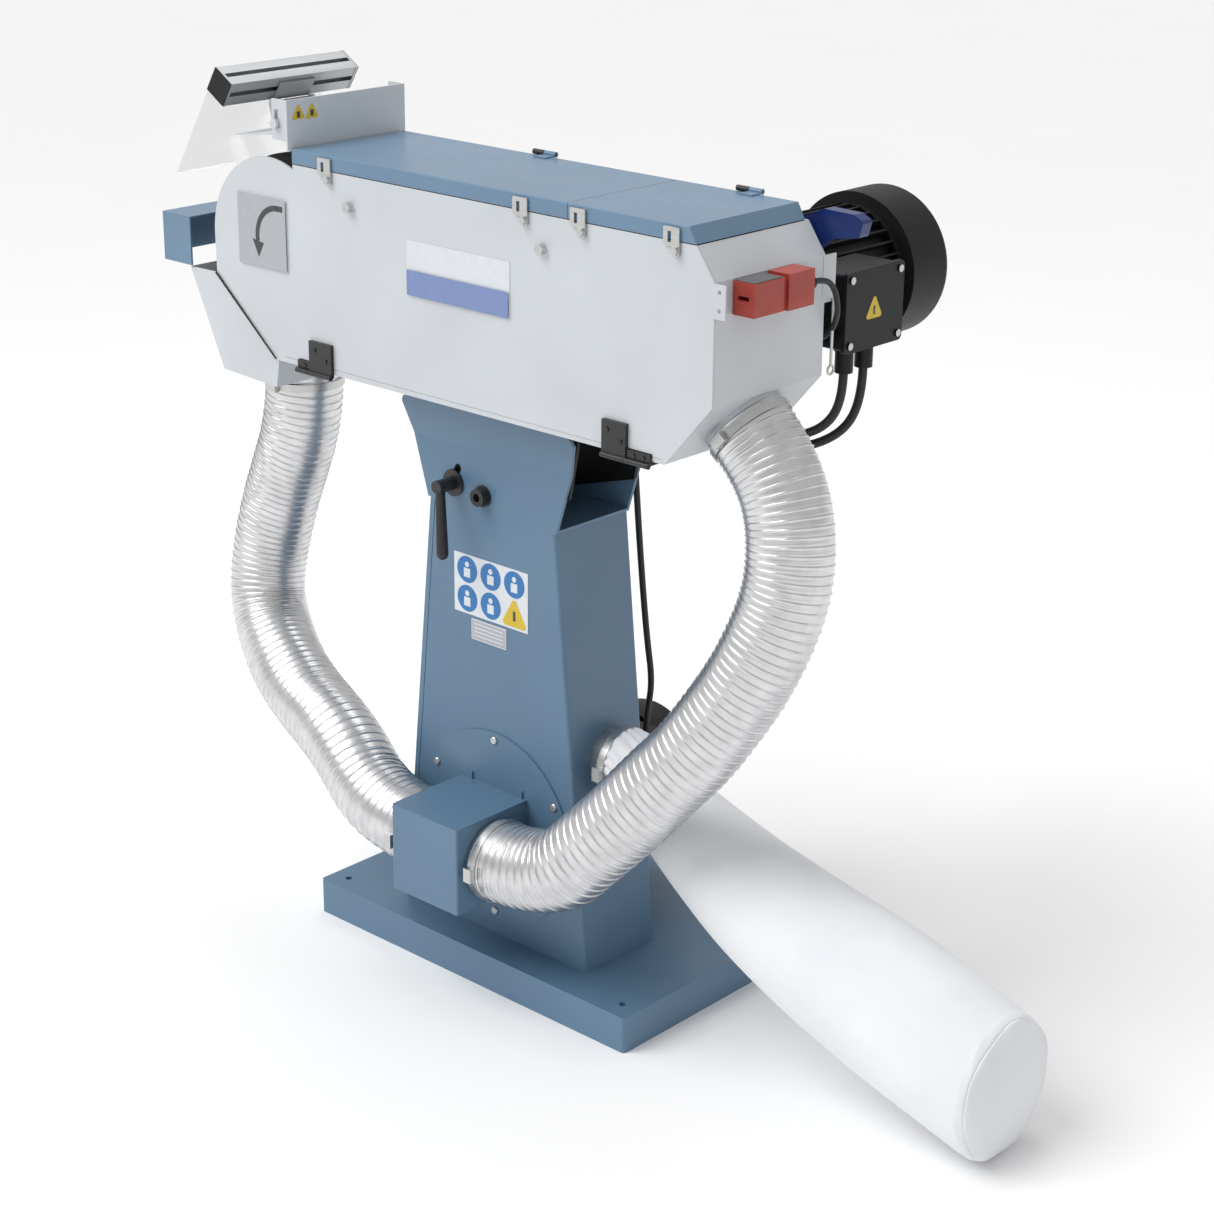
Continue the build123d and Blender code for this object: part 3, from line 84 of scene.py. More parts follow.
WHITE_ROOM = 0.58
world = bpy.data.worlds.new("studio")
world.use_nodes = True
world.node_tree.nodes["Background"].inputs["Color"].default_value = (1, 1, 1, 1)
world.node_tree.nodes["Background"].inputs["Strength"].default_value = WHITE_ROOM
bpy.context.scene.world = world


def softbox(name, place, target, size, watts):
    """A square area light aimed from its place at a target."""
    data = bpy.data.lights.new(name, "AREA")
    data.size = size
    data.energy = watts
    lamp = bpy.data.objects.new(name, data)
    aim = Vector(target) - Vector(place)
    lamp.rotation_euler = aim.to_track_quat("-Z", "Y").to_euler()
    lamp.location = place
    bpy.context.collection.objects.link(lamp)


softbox("key_light", place=(-2.4, -3.2, 3.4), target=(0, 0, 0.8), size=2.0, watts=26)
softbox("top_light", place=(-0.6, 0.9, 3.8), target=(0.1, 0, 0.6), size=2.2, watts=30)

SKY_STRENGTH = 1.55
SKY_SOFTNESS = 0.7
SKY_AIM = Vector((2.0, 3.0, -4.6))
sky_data = bpy.data.lights.new("overhead_sky", "SUN")
sky_data.energy = SKY_STRENGTH
sky_data.angle = SKY_SOFTNESS
sky_light = bpy.data.objects.new("overhead_sky", sky_data)
sky_light.rotation_euler = SKY_AIM.to_track_quat("-Z", "Y").to_euler()
bpy.context.collection.objects.link(sky_light)


def new_material(name, colour, roughness, metallic=0.0):
    """A material whose shader holds its even values, with its node tree for the rest."""
    material = bpy.data.materials.new(name)
    material.use_nodes = True
    shader = material.node_tree.nodes["Principled BSDF"]
    shader.inputs["Base Color"].default_value = (*colour, 1)
    shader.inputs["Roughness"].default_value = roughness
    shader.inputs["Metallic"].default_value = metallic
    return material, material.node_tree, shader


def noise(tree, scale, detail=3.0, stretch=None):
    """Noise on Object coordinates, its features about 1/scale metres across."""
    place = tree.nodes.new("ShaderNodeTexCoord")
    texture = tree.nodes.new("ShaderNodeTexNoise")
    texture.inputs["Scale"].default_value = scale
    texture.inputs["Detail"].default_value = detail
    source = place.outputs["Object"]
    if stretch:
        mapping = tree.nodes.new("ShaderNodeMapping")
        mapping.inputs["Scale"].default_value = stretch
        tree.links.new(source, mapping.inputs["Vector"])
        source = mapping.outputs["Vector"]
    tree.links.new(source, texture.inputs["Vector"])
    return texture.outputs["Fac"]


def ramp(tree, value, low, high, start=0.3, stop=0.7):
    """A value turned into a colour between two colours."""
    node = tree.nodes.new("ShaderNodeValToRGB")
    node.color_ramp.elements[0].position = start
    node.color_ramp.elements[0].color = (*low, 1)
    node.color_ramp.elements[1].position = stop
    node.color_ramp.elements[1].color = (*high, 1)
    tree.links.new(value, node.inputs["Fac"])
    return node.outputs["Color"]


def bump(tree, shader, height, strength, distance):
    """Relief from a height value, added to what the shader already has."""
    node = tree.nodes.new("ShaderNodeBump")
    node.inputs["Strength"].default_value = strength
    node.inputs["Distance"].default_value = distance
    tree.links.new(height, node.inputs["Height"])
    linked = shader.inputs["Normal"].links
    if linked:
        tree.links.new(linked[0].from_socket, node.inputs["Normal"])
    tree.links.new(node.outputs["Normal"], shader.inputs["Normal"])


FLOOR_WIDTH = 40
floor_material, floor_tree, floor_shader = new_material("studio_floor", (0.96, 0.96, 0.96), 0.75)
floor_tree.links.new(
    ramp(floor_tree, noise(floor_tree, 1.5), (0.955, 0.955, 0.955), (0.965, 0.965, 0.965)),
    floor_shader.inputs["Base Color"],
)
floor_rough = floor_tree.nodes.new("ShaderNodeMapRange")
floor_rough.inputs["To Min"].default_value = 0.72
floor_rough.inputs["To Max"].default_value = 0.8
floor_tree.links.new(noise(floor_tree, 4), floor_rough.inputs["Value"])
floor_tree.links.new(floor_rough.outputs["Result"], floor_shader.inputs["Roughness"])
bump(floor_tree, floor_shader, noise(floor_tree, 60), 0.02, 0.0004)
bpy.ops.mesh.primitive_plane_add(size=FLOOR_WIDTH, location=(0, 0, 0))
floor = bpy.context.object
floor.name = "studio_floor"
floor.data.materials.append(floor_material)


# ---------------------------------------------------------------- ducts
# Two flexible ducts of spiral-wound aluminium foil with a thin folded seam. Each is pushed
# over a spigot at both ends and clamped, and the lower ends meet at the fan's inlet box.

HOSE_R = 0.0605
SEAM_PITCH = 0.0155
SEAM_HEIGHT = 0.0017
SEAM_WIDTH = 0.0010
GROOVE_DEPTH = 0.0006
GROOVE_SHIFT = 2.2
WOBBLE = 0.0006
FOIL_RELIEF = 0.0012
FOIL_THICKNESS = 0.0008
UPPER_PITCH = 0.68
DUCT_STEP = 0.0010
DUCT_SIDES = 72
FOIL_RING_PITCH = 0.0039

duct_left_route = [
    (-0.472, -0.104, 0.845), (-0.472, -0.104, 0.772), (-0.524, -0.108, 0.645), (-0.556, -0.122, 0.522),
    (-0.530, -0.146, 0.420), (-0.420, -0.182, 0.345), (-0.285, -0.210, 0.310), (-0.165, -0.243, 0.235),
    (-0.064, -0.243, 0.235),
]
duct_right_route = [
    (0.41305, -0.104, 0.93709), (0.46199, -0.104, 0.89507), (0.501, -0.108, 0.815), (0.506, -0.122, 0.715),
    (0.482, -0.146, 0.625), (0.425, -0.176, 0.510), (0.335, -0.210, 0.397), (0.272, -0.230, 0.322),
    (0.190, -0.243, 0.235), (0.078, -0.243, 0.235),
]


def nurbs_route(name, points, bevel=0.0):
    """A smooth curve that has the route's points as its control points."""
    data = bpy.data.curves.new(name, "CURVE")
    data.dimensions = "3D"
    data.resolution_u = 16
    data.bevel_depth = bevel
    data.bevel_resolution = 5
    data.use_fill_caps = True
    spline = data.splines.new("NURBS")
    spline.points.add(len(points) - 1)
    spline.points.foreach_set("co", np.hstack([points, np.ones((len(points), 1))]).ravel())
    spline.order_u = 3
    spline.use_endpoint_u = True
    curve = bpy.data.objects.new(name, data)
    bpy.context.collection.objects.link(curve)
    return curve


def route_line(points, step):
    """Evenly spaced points on the route's smooth curve, with how far along each one is."""
    curve = nurbs_route("route", points)
    bpy.context.view_layer.update()
    mesh = bpy.data.meshes.new_from_object(curve.evaluated_get(bpy.context.evaluated_depsgraph_get()))
    line = np.empty(len(mesh.vertices) * 3)
    mesh.vertices.foreach_get("co", line)
    line = line.reshape(-1, 3)
    bpy.data.objects.remove(curve)
    bpy.data.meshes.remove(mesh)
    along = np.concatenate([[0], np.cumsum(np.linalg.norm(np.diff(line, axis=0), axis=1))])
    even = np.linspace(0, along[-1], max(2, round(along[-1] / step)) + 1)
    return np.stack([np.interp(even, along, line[:, axis]) for axis in range(3)], 1), even


def frames_along(line):
    """Two unit directions across a line at each point, turned as little as possible."""
    tangents = np.gradient(line, axis=0)
    tangents /= np.linalg.norm(tangents, axis=1, keepdims=True)
    side = np.cross(tangents[0], (0.3, 1.0, 0.2))
    side /= np.linalg.norm(side)
    sides = []
    for tangent in tangents:
        side = side - tangent * (side @ tangent)
        side = side / np.linalg.norm(side)
        sides.append(side)
    sides = np.array(sides)
    return sides, np.cross(tangents, sides)


def grid_piece(name, grid, material, uv=None, start_pole=False, end_pole=False):
    """A mesh from rings of points (rows, columns, 3), each row joined round into a ring.
    A pole is a point at the middle of an end ring that closes it with triangles."""
    rows, columns = grid.shape[:2]
    points = grid.reshape(-1, 3)
    row, column = np.meshgrid(np.arange(rows - 1), np.arange(columns), indexing="ij")
    nxt = (column + 1) % columns
    quads = np.stack([row * columns + column, row * columns + nxt, (row + 1) * columns + nxt,
                      (row + 1) * columns + column], -1).reshape(-1, 4)
    faces = quads.tolist()
    ring = np.arange(columns)
    if start_pole:
        pole = np.full(columns, len(points))
        points = np.vstack([points, grid[0].mean(0)])
        faces += np.stack([(ring + 1) % columns, ring, pole], 1).tolist()
    if end_pole:
        pole = np.full(columns, len(points))
        points = np.vstack([points, grid[-1].mean(0)])
        last = (rows - 1) * columns
        faces += np.stack([last + ring, last + (ring + 1) % columns, pole], 1).tolist()
    mesh = bpy.data.meshes.new(name)
    mesh.from_pydata(points.tolist(), [], faces)
    mesh.shade_smooth()
    mesh.materials.append(material)
    if uv is not None:
        layer = mesh.uv_layers.new(name="along")
        loops = np.empty(len(mesh.loops), int)
        mesh.loops.foreach_get("vertex_index", loops)
        layer.data.foreach_set("uv", uv.reshape(-1, 2)[loops].astype(np.float32).ravel())
    piece = bpy.data.objects.new(name, mesh)
    bpy.context.collection.objects.link(piece)
    return piece


def duct_foil():
    """Thin aluminium foil: fine rings pressed into it, and small creases."""
    material, tree, shader = new_material("spiral_duct_foil", (0.70, 0.70, 0.71), 0.32, 1.0)
    uv = tree.nodes.new("ShaderNodeUVMap")
    uv.uv_map = "along"
    split = tree.nodes.new("ShaderNodeSeparateXYZ")
    tree.links.new(uv.outputs["UV"], split.inputs["Vector"])
    rings = tree.nodes.new("ShaderNodeMath")
    rings.operation = "SINE"
    scaled = tree.nodes.new("ShaderNodeMath")
    scaled.operation = "MULTIPLY"
    scaled.inputs[1].default_value = 2 * math.pi / FOIL_RING_PITCH
    tree.links.new(split.outputs["X"], scaled.inputs[0])
    tree.links.new(scaled.outputs["Value"], rings.inputs[0])
    bump(tree, shader, rings.outputs["Value"], 0.16, 0.00022)
    bump(tree, shader, noise(tree, 70, 3), 0.12, 0.001)
    tree.links.new(
        ramp(tree, noise(tree, 40, 4), (0.62, 0.62, 0.63), (0.75, 0.75, 0.76)), shader.inputs["Base Color"]
    )
    return material


foil = duct_foil()


def spiral_duct(name, route, node):
    """A circle carried along the route. Its radius rises as a bell curve of the distance to one
    helical seam, with a groove beside it, and waves a little between the ends. The seam's turns
    close up by half a cosine from the lower end to the upper one."""
    line, along = route_line(np.array(route), DUCT_STEP)
    first, second = frames_along(line)
    angle = np.linspace(0, 2 * math.pi, DUCT_SIDES, endpoint=False)
    half_turn = along / along[-1] * math.pi
    closeness = (1 + UPPER_PITCH) / 2 + (1 - UPPER_PITCH) / 2 * np.cos(half_turn)
    turns = np.cumsum(np.full(len(along), along[1] / SEAM_PITCH) / closeness)
    phase = (turns[:, None] + angle[None] / (2 * math.pi)) % 1
    from_seam = (phase - 0.5) * SEAM_PITCH / SEAM_WIDTH
    seam = np.exp(-(from_seam**2))
    groove = np.exp(-((from_seam - GROOVE_SHIFT) ** 2))
    wobble = WOBBLE * np.sin(3 * angle[None] + 40 * along[:, None]) * np.sin(half_turn)[:, None]
    r = HOSE_R - FOIL_RELIEF + SEAM_HEIGHT * seam - GROOVE_DEPTH * groove + wobble
    grid = (
        line[:, None]
        + (r * np.cos(angle))[..., None] * first[:, None]
        + (r * np.sin(angle))[..., None] * second[:, None]
    )
    uv = np.stack(np.broadcast_arrays(along[:, None], np.linspace(0, 1, DUCT_SIDES)[None]), -1)
    duct = grid_piece(name, grid, foil, uv=uv)
    wall = duct.modifiers.new("foil_thickness", "SOLIDIFY")
    wall.thickness = FOIL_THICKNESS
    wall.offset = -1
    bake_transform(duct)
    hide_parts(node)


spiral_duct("duct_left", duct_left_route[::-1], "hose_left")
spiral_duct("duct_right", duct_right_route[::-1], "hose_right")


# ---------------------------------------------------------------- cables
# Black rubber-sheathed cables: two hang from the motor's terminal box to the control box,
# one runs from the interlock switch round the casing to the terminal box, and one drops to
# the fan's motor.

CORD_STEP = 0.002
FAN_CORD_STEP = 0.005
FAN_CORD_SIDES = 16
MOTOR_CABLE_D = 0.013
SWITCH_CABLE_D = 0.008
FAN_CABLE_D = 0.010


def shade(colour, factor):
    """A colour made lighter or darker, held at white."""
    return tuple(min(1, channel * factor) for channel in colour)


def moulded(name, colour, roughness=0.5, grain=700):
    """Moulded plastic with a fine spark-eroded grain."""
    material, tree, shader = new_material(name, colour, roughness)
    tree.links.new(
        ramp(tree, noise(tree, 30), shade(colour, 0.88), shade(colour, 1.15)), shader.inputs["Base Color"]
    )
    bump(tree, shader, noise(tree, grain, 2), 0.18, 0.0005)
    return material


cable_sheath = moulded("cable_sheath", (0.014, 0.014, 0.015), 0.48, 300)


def line_length(route):
    """How long the smooth curve of a route is."""
    return float(route_line(np.array(route), CORD_STEP)[1][-1])


def hanging_cable(name, route, diameter, body, node):
    """A round cable on its smooth route, with its ends in two glands."""
    cable = nurbs_route(name, np.array(route), diameter / 2)
    cable.data.materials.append(cable_sheath)
    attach(cable, body)
    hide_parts(node)
    line_length(route)


hanging_cable("motor_cable_front", [
    (0.410, 0.110, 0.965), (0.410, 0.110, 0.925), (0.392, 0.100, 0.885), (0.345, 0.088, 0.862),
    (0.290, 0.074, 0.858), (0.225, 0.062, 0.862), (0.165, 0.056, 0.868), (0.125, 0.055, 0.890),
    (0.125, 0.055, 0.930),
], MOTOR_CABLE_D, "head", "motor_cables")
hanging_cable("motor_cable_rear", [
    (0.410, 0.155, 0.965), (0.410, 0.155, 0.920), (0.396, 0.140, 0.872), (0.350, 0.116, 0.842),
    (0.285, 0.092, 0.834), (0.205, 0.076, 0.840), (0.140, 0.070, 0.852), (0.098, 0.070, 0.882),
    (0.098, 0.070, 0.930),
], MOTOR_CABLE_D, "head", "motor_cables")
hanging_cable("interlock_cable", [
    (0.466, -0.043, 1.126), (0.466, -0.014, 1.126), (0.467, 0.008, 1.108), (0.464, 0.020, 1.072),
    (0.448, 0.028, 1.044), (0.426, 0.033, 1.030), (0.415, 0.044, 1.026), (0.415, 0.060, 1.026),
], SWITCH_CABLE_D, "head", "switch_cable")

fan_cable_route = [
    (0.070, 0.055, 0.930), (0.070, 0.055, 0.860), (0.076, 0.060, 0.740), (0.086, 0.062, 0.620),
    (0.100, 0.062, 0.505), (0.110, 0.066, 0.430), (0.092, 0.074, 0.372), (0.092, 0.074, 0.338),
]
fan_line, fan_along = route_line(np.array(fan_cable_route), FAN_CORD_STEP)
fan_first, fan_second = frames_along(fan_line)
ring_angle = np.linspace(0, 2 * math.pi, FAN_CORD_SIDES, endpoint=False)[None, :, None]
fan_grid = fan_line[:, None] + FAN_CABLE_D / 2 * (
    np.cos(ring_angle) * fan_first[:, None] + np.sin(ring_angle) * fan_second[:, None]
)
fan_cable = grid_piece("fan_motor_cable", fan_grid, cable_sheath, start_pole=True, end_pole=True)
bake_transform(fan_cable)
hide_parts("fan_cable")


# ---------------------------------------------------------------- filter bag
# A long bag of white needle felt, tied round the fan's outlet and blown up by its air, so it
# swells towards a round end that rests on the floor, with long creases from the neck.

# Each row is where the middle of a section is, as x, y and z, and its radius.
bag_sections = np.array([
    (0.180, -0.085, 0.371, 0.0500), (0.208, -0.085, 0.369, 0.0520), (0.268, -0.085, 0.329, 0.0620),
    (0.350, -0.084, 0.282, 0.0760), (0.438, -0.083, 0.239, 0.0880), (0.550, -0.082, 0.199, 0.0985),
    (0.675, -0.082, 0.164, 0.1060), (0.780, -0.081, 0.132, 0.1055), (0.850, -0.081, 0.109, 0.1030),
    (0.866, -0.081, 0.1055, 0.1010), (0.876, -0.081, 0.104, 0.0930), (0.883, -0.081, 0.104, 0.0700),
    (0.8875, -0.081, 0.104, 0.0400), (0.889, -0.081, 0.104, 0.0100),
])
BAG_ROWS = 260
BAG_SIDES = 192
CLOTH_THICKNESS = 0.0012
FLOOR_GAP = 0.0008


def smooth_through(values, count):
    """Values spread over more rows by a cubic through each four neighbours."""
    place = np.linspace(0, len(values) - 1, count)
    low = np.clip(place.astype(int), 0, len(values) - 2)
    t = (place - low)[:, None]
    padded = np.vstack([2 * values[0] - values[1], values, 2 * values[-1] - values[-2]])
    a, b, c, d = (padded[low + shift] for shift in range(4))
    return 0.5 * (2 * b + (c - a) * t + (2 * a - 5 * b + 4 * c - d) * t**2 + (3 * b - a - 3 * c + d) * t**3)


# The radius is the section's own, times one plus these creases: gathers at the tied neck, five
# soft facets, one long fold, short folds and pulls, and the end's sewn seam with its folds.
rows = smooth_through(bag_sections, BAG_ROWS)
share = np.linspace(0, 1, BAG_ROWS)[:, None]
turn = np.linspace(0, 2 * math.pi, BAG_SIDES, endpoint=False)[None]
away = share**1.5 * (1 - share**14)
gathers = np.exp(-(((share - 0.10) / 0.08) ** 2)) * 0.04 * np.sin(19 * turn + 1.3 * np.sin(5 * turn))
facets = 0.030 * np.cos(5 * turn - 0.9 + 1.1 * share) * away
long_fold = -0.05 * np.exp(-(((np.sin((turn - 2.35 - 0.5 * share) / 2)) / 0.075) ** 2)) * away
short_folds = 0.018 * np.abs(np.sin(2.5 * turn + 6.5 * share + 1.4 * np.sin(8 * share))) ** 8 * away
pulls = -0.022 * np.exp(-((np.sin(3 * turn - 4 * share + 0.4) / 0.16) ** 2)) * away * share**3
end_seam = -0.022 * np.exp(-(((share - 0.735) / 0.008) ** 2))
end_folds = 0.035 * np.sin(7 * turn + 1.1) * np.exp(-(((share - 0.80) / 0.05) ** 2))
creases = facets + long_fold + short_folds + pulls + end_seam + end_folds
bag_r = rows[:, 3:4] * (1 + gathers + creases)
bag_grid = np.empty((BAG_ROWS, BAG_SIDES, 3))
bag_grid[..., 0] = rows[:, :1]
bag_grid[..., 1] = rows[:, 1:2] + bag_r * np.sin(turn)
bag_grid[..., 2] = rows[:, 2:3] + bag_r * np.cos(turn)
bag_grid[..., 2] = np.maximum(bag_grid[..., 2], FLOOR_GAP)


def filter_felt():
    """White needle felt: a soft sheen, a fibrous surface and a little light through it."""
    material, tree, shader = new_material("filter_felt", (0.80, 0.81, 0.84), 0.85)
    tree.links.new(
        ramp(tree, noise(tree, 9, 5), (0.77, 0.785, 0.82), (0.84, 0.85, 0.875)), shader.inputs["Base Color"]
    )
    shader.inputs["Sheen Weight"].default_value = 0.15
    shader.inputs["Subsurface Weight"].default_value = 0.12
    shader.inputs["Subsurface Radius"].default_value = (0.02, 0.02, 0.02)
    bump(tree, shader, noise(tree, 1100, 3), 0.25, 0.0008)
    bump(tree, shader, noise(tree, 12, 3), 0.25, 0.006)
    return material


felt = filter_felt()
bag = grid_piece("filter_bag_cloth", bag_grid, felt, end_pole=True)
bag_wall = bag.modifiers.new("cloth_thickness", "SOLIDIFY")
bag_wall.thickness = CLOTH_THICKNESS
bag_wall.offset = -1
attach(bag, "root")
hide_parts("filter_bag")


# ---------------------------------------------------------------- stand
# A welded plinth, a tapered sheet column and a plate saddle, all in blue-grey powder coat.
# The fan's round cover and the inlet box are fixed to the column's front, in the same coat.
# Bright zinc goes on the clamps and shafts, and black on the tilt bracket and both motors. The bracket's
# black is partly its own colour and partly painted shade, where its rear plate fills the saddle's trough,
# which is dark only from shadow.

STAND_BLUE = (0.098, 0.185, 0.285)


def powder_coat(name, colour, roughness=0.42):
    """Powder coat: faint cloudiness in the colour and an orange-peel skin."""
    material, tree, shader = new_material(name, colour, roughness)
    tree.links.new(
        ramp(tree, noise(tree, 5), shade(colour, 0.95), shade(colour, 1.05)), shader.inputs["Base Color"]
    )
    rough = tree.nodes.new("ShaderNodeMapRange")
    rough.inputs["To Min"].default_value = roughness - 0.05
    rough.inputs["To Max"].default_value = roughness + 0.08
    tree.links.new(noise(tree, 14), rough.inputs["Value"])
    tree.links.new(rough.outputs["Result"], shader.inputs["Roughness"])
    bump(tree, shader, noise(tree, 520, 2), 0.12, 0.0006)
    shader.inputs["Coat Weight"].default_value = 0.18
    shader.inputs["Coat Roughness"].default_value = 0.25
    return material


def finish(material, *names):
    """Gives CAD nodes their finish."""
    for name in names:
        slots = nodes[name].data.materials
        slots.clear()
        slots.append(material)


stand_paint = powder_coat("stand_paint", STAND_BLUE, 0.4)
finish(stand_paint, "base_plate", "column", "saddle", "fan_cover", "inlet_box")


def machined(name, colour, roughness=0.3, stretch=(1, 1, 30)):
    """Bright metal with fine tool lines drawn out along one direction."""
    material, tree, shader = new_material(name, colour, roughness, 1.0)
    lines = noise(tree, 60, 5, stretch)
    tree.links.new(ramp(tree, lines, shade(colour, 0.82), shade(colour, 1.08)), shader.inputs["Base Color"])
    rough = tree.nodes.new("ShaderNodeMapRange")
    rough.inputs["To Min"].default_value = roughness - 0.08
    rough.inputs["To Max"].default_value = roughness + 0.12
    tree.links.new(lines, rough.inputs["Value"])
    tree.links.new(rough.outputs["Result"], shader.inputs["Roughness"])
    bump(tree, shader, lines, 0.08, 0.0004)
    return material


bright_steel = machined("zinc_steel", (0.62, 0.62, 0.61), 0.32)
finish(bright_steel, "fan_housing", "fan_cover_screws", "fan_shaft", "stand_clamps", "head_clamps", "platen",
       "contact_axle", "motor_shaft", "drive_pulley", "tension_arm", "tension_roller",
       "latch_1", "latch_2", "latch_3", "latch_4")
black_oxide = moulded("black_oxide", (0.018, 0.018, 0.019), 0.38, 900)
finish(black_oxide, "pivot_bolt", "clamp_lever", "cover_hinge_leaves", "hinge_brackets")
BLACK_SPECULAR = 0.3
black_coat = powder_coat("black_coat", (0.007, 0.007, 0.008), 0.46)
black_shader = black_coat.node_tree.nodes["Principled BSDF"]
black_shader.inputs["Specular IOR Level"].default_value = BLACK_SPECULAR
black_shader.inputs["Coat Weight"].default_value = 0
# Partly painted shade: the tilt bracket is black, and its rear plate fills the saddle's trough, which is
# dark only from shadow.
finish(black_coat, "tilt_bracket", "fan_motor", "motor_frame", "motor_cowl")


# ---------------------------------------------------------------- head casing
# Folded sheet in light grey-white powder coat: the back plate, the wall, the hopper, the
# hinged front cover, the spark shelf and the guard. The two lids and the work rest are
# blue-grey.

CASING_WHITE = (0.56, 0.59, 0.62)
casing_paint = powder_coat("casing_paint", CASING_WHITE, 0.38)
finish(casing_paint, "back_plate", "case_wall", "chute", "front_cover", "spark_flap", "guard_plate")
lid_paint = powder_coat("lid_paint", (0.130, 0.225, 0.335), 0.28)
finish(lid_paint, "lid_left", "lid_right", "work_rest")


# ---------------------------------------------------------------- wheels and belt
# A cast aluminium contact wheel with a rubber tyre, and a brown-black abrasive belt. The fan's
# impeller is cast too, and the visor's profile is extruded and anodised.

cast_metal = machined("cast_aluminium", (0.66, 0.67, 0.69), 0.36, (1, 8, 1))
finish(cast_metal, "contact_wheel", "impeller")
finish(machined("anodised_profile", (0.42, 0.43, 0.44), 0.38, (1, 0.05, 1)), "visor_frame")
tyre_rubber = moulded("tyre_rubber", (0.02, 0.02, 0.021), 0.7, 260)
finish(tyre_rubber, "contact_tyre")


def abrasive_cloth():
    """Resin-bonded grit on cloth: dark, rough and sparkling."""
    material, tree, shader = new_material("abrasive_cloth", (0.02, 0.016, 0.015), 0.85)
    grit = ramp(tree, noise(tree, 1600, 2), (0.008, 0.007, 0.007), (0.045, 0.034, 0.031))
    tree.links.new(grit, shader.inputs["Base Color"])
    bump(tree, shader, noise(tree, 1500, 2), 0.6, 0.0008)
    return material


finish(abrasive_cloth(), "sanding_belt")


# ---------------------------------------------------------------- plastics
# Mouldings. The terminal box, glands, control box, the motor's fan and the work rest's knob
# are black; the buttons are red and green, the interlock switch is red, and the belt's
# tension lever is deep blue.

black_plastic = moulded("black_plastic", (0.008, 0.008, 0.009), 0.42)
plastic_shader = black_plastic.node_tree.nodes["Principled BSDF"]
plastic_shader.inputs["Specular IOR Level"].default_value = BLACK_SPECULAR
finish(black_plastic, "terminal_box", "cable_glands", "control_box", "motor_fan", "rest_bolt")
finish(moulded("lever_blue", (0.006, 0.022, 0.13), 0.25), "tension_lever")
red_plastic = moulded("switch_red", (0.36, 0.045, 0.032), 0.42)
finish(red_plastic, "interlock_switch", "stop_button")
finish(moulded("button_green", (0.015, 0.25, 0.06), 0.35), "start_button")


# ---------------------------------------------------------------- plates and signs
# Thin printed plates stuck or screwed on. They are blank or carry plain shapes only: round
# blue signs, yellow triangles, one colour band and the arrow of the belt's direction.

PRINT_T = 0.0003


def printed(name, colour, roughness=0.35):
    """Printed foil: an even colour with a faint grain."""
    material, tree, shader = new_material(name, colour, roughness)
    tree.links.new(
        ramp(tree, noise(tree, 80), shade(colour, 0.97), shade(colour, 1.03)), shader.inputs["Base Color"]
    )
    bump(tree, shader, noise(tree, 900, 2), 0.05, 0.0002)
    return material


plate_white = printed("plate_white", (0.66, 0.69, 0.73), 0.3)
plate_silver = printed("plate_silver", (0.40, 0.42, 0.45), 0.35)
sign_blue = printed("sign_blue", (0.022, 0.16, 0.42))
sign_yellow = printed("sign_yellow", (0.62, 0.44, 0.02))
sign_black = printed("sign_black", (0.05, 0.05, 0.055))
band_blue = printed("band_blue", (0.18, 0.25, 0.47))
finish(plate_white, "column_plates", "cover_plates")


def flat_print(name, outlines, place, across, upwards, material, body, rise=PRINT_T, slot="plate_white"):
    """Thin flat shapes on one face. Each outline is a closed list of (across, up) points,
    turned anticlockwise seen from outside, and is raised into a closed slab of height rise."""
    across = np.array(across, float)
    upwards = np.array(upwards, float)
    outward = np.cross(across, upwards)
    points = []
    faces = []
    for shape in outlines:
        shape = np.array(shape, float)
        count = len(shape)
        first = len(points)
        base = np.array(place) + shape[:, :1] * across + shape[:, 1:] * upwards
        points += (base + outward * rise).tolist() + (base - outward * PRINT_T / 2).tolist()
        ring = np.arange(count)
        step = (ring + 1) % count
        faces.append((first + ring).tolist())
        faces.append((first + count + ring[::-1]).tolist())
        sides = [first + ring, first + count + ring, first + count + step, first + step]
        faces += np.stack(sides, 1).tolist()
    mesh = bpy.data.meshes.new(name)
    mesh.from_pydata(points, [], faces)
    mesh.materials.append(material)
    piece = bpy.data.objects.new(name, mesh)
    bpy.context.collection.objects.link(piece)
    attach(piece, body)


def circle_shape(x, z, r):
    """A round outline of 48 points."""
    angle = np.linspace(0, 2 * math.pi, 48, endpoint=False)
    return np.stack([x + r * np.cos(angle), z + r * np.sin(angle)], 1)


def box_shape(x0, x1, z0, z1):
    """A rectangle's four corners, anticlockwise."""
    return [(x0, z0), (x1, z0), (x1, z1), (x0, z1)]


def triangle_shape(x, z, r):
    """A warning triangle, its corners r from the middle and slightly rounded."""
    corners = []
    for turn_deg in (90, 210, 330):
        for off in (-8, -3, 3, 8):
            a = math.radians(turn_deg + off)
            reach = r * (1 - 0.004 * abs(off))
            corners.append((x + reach * math.cos(a), z + reach * math.sin(a)))
    return corners


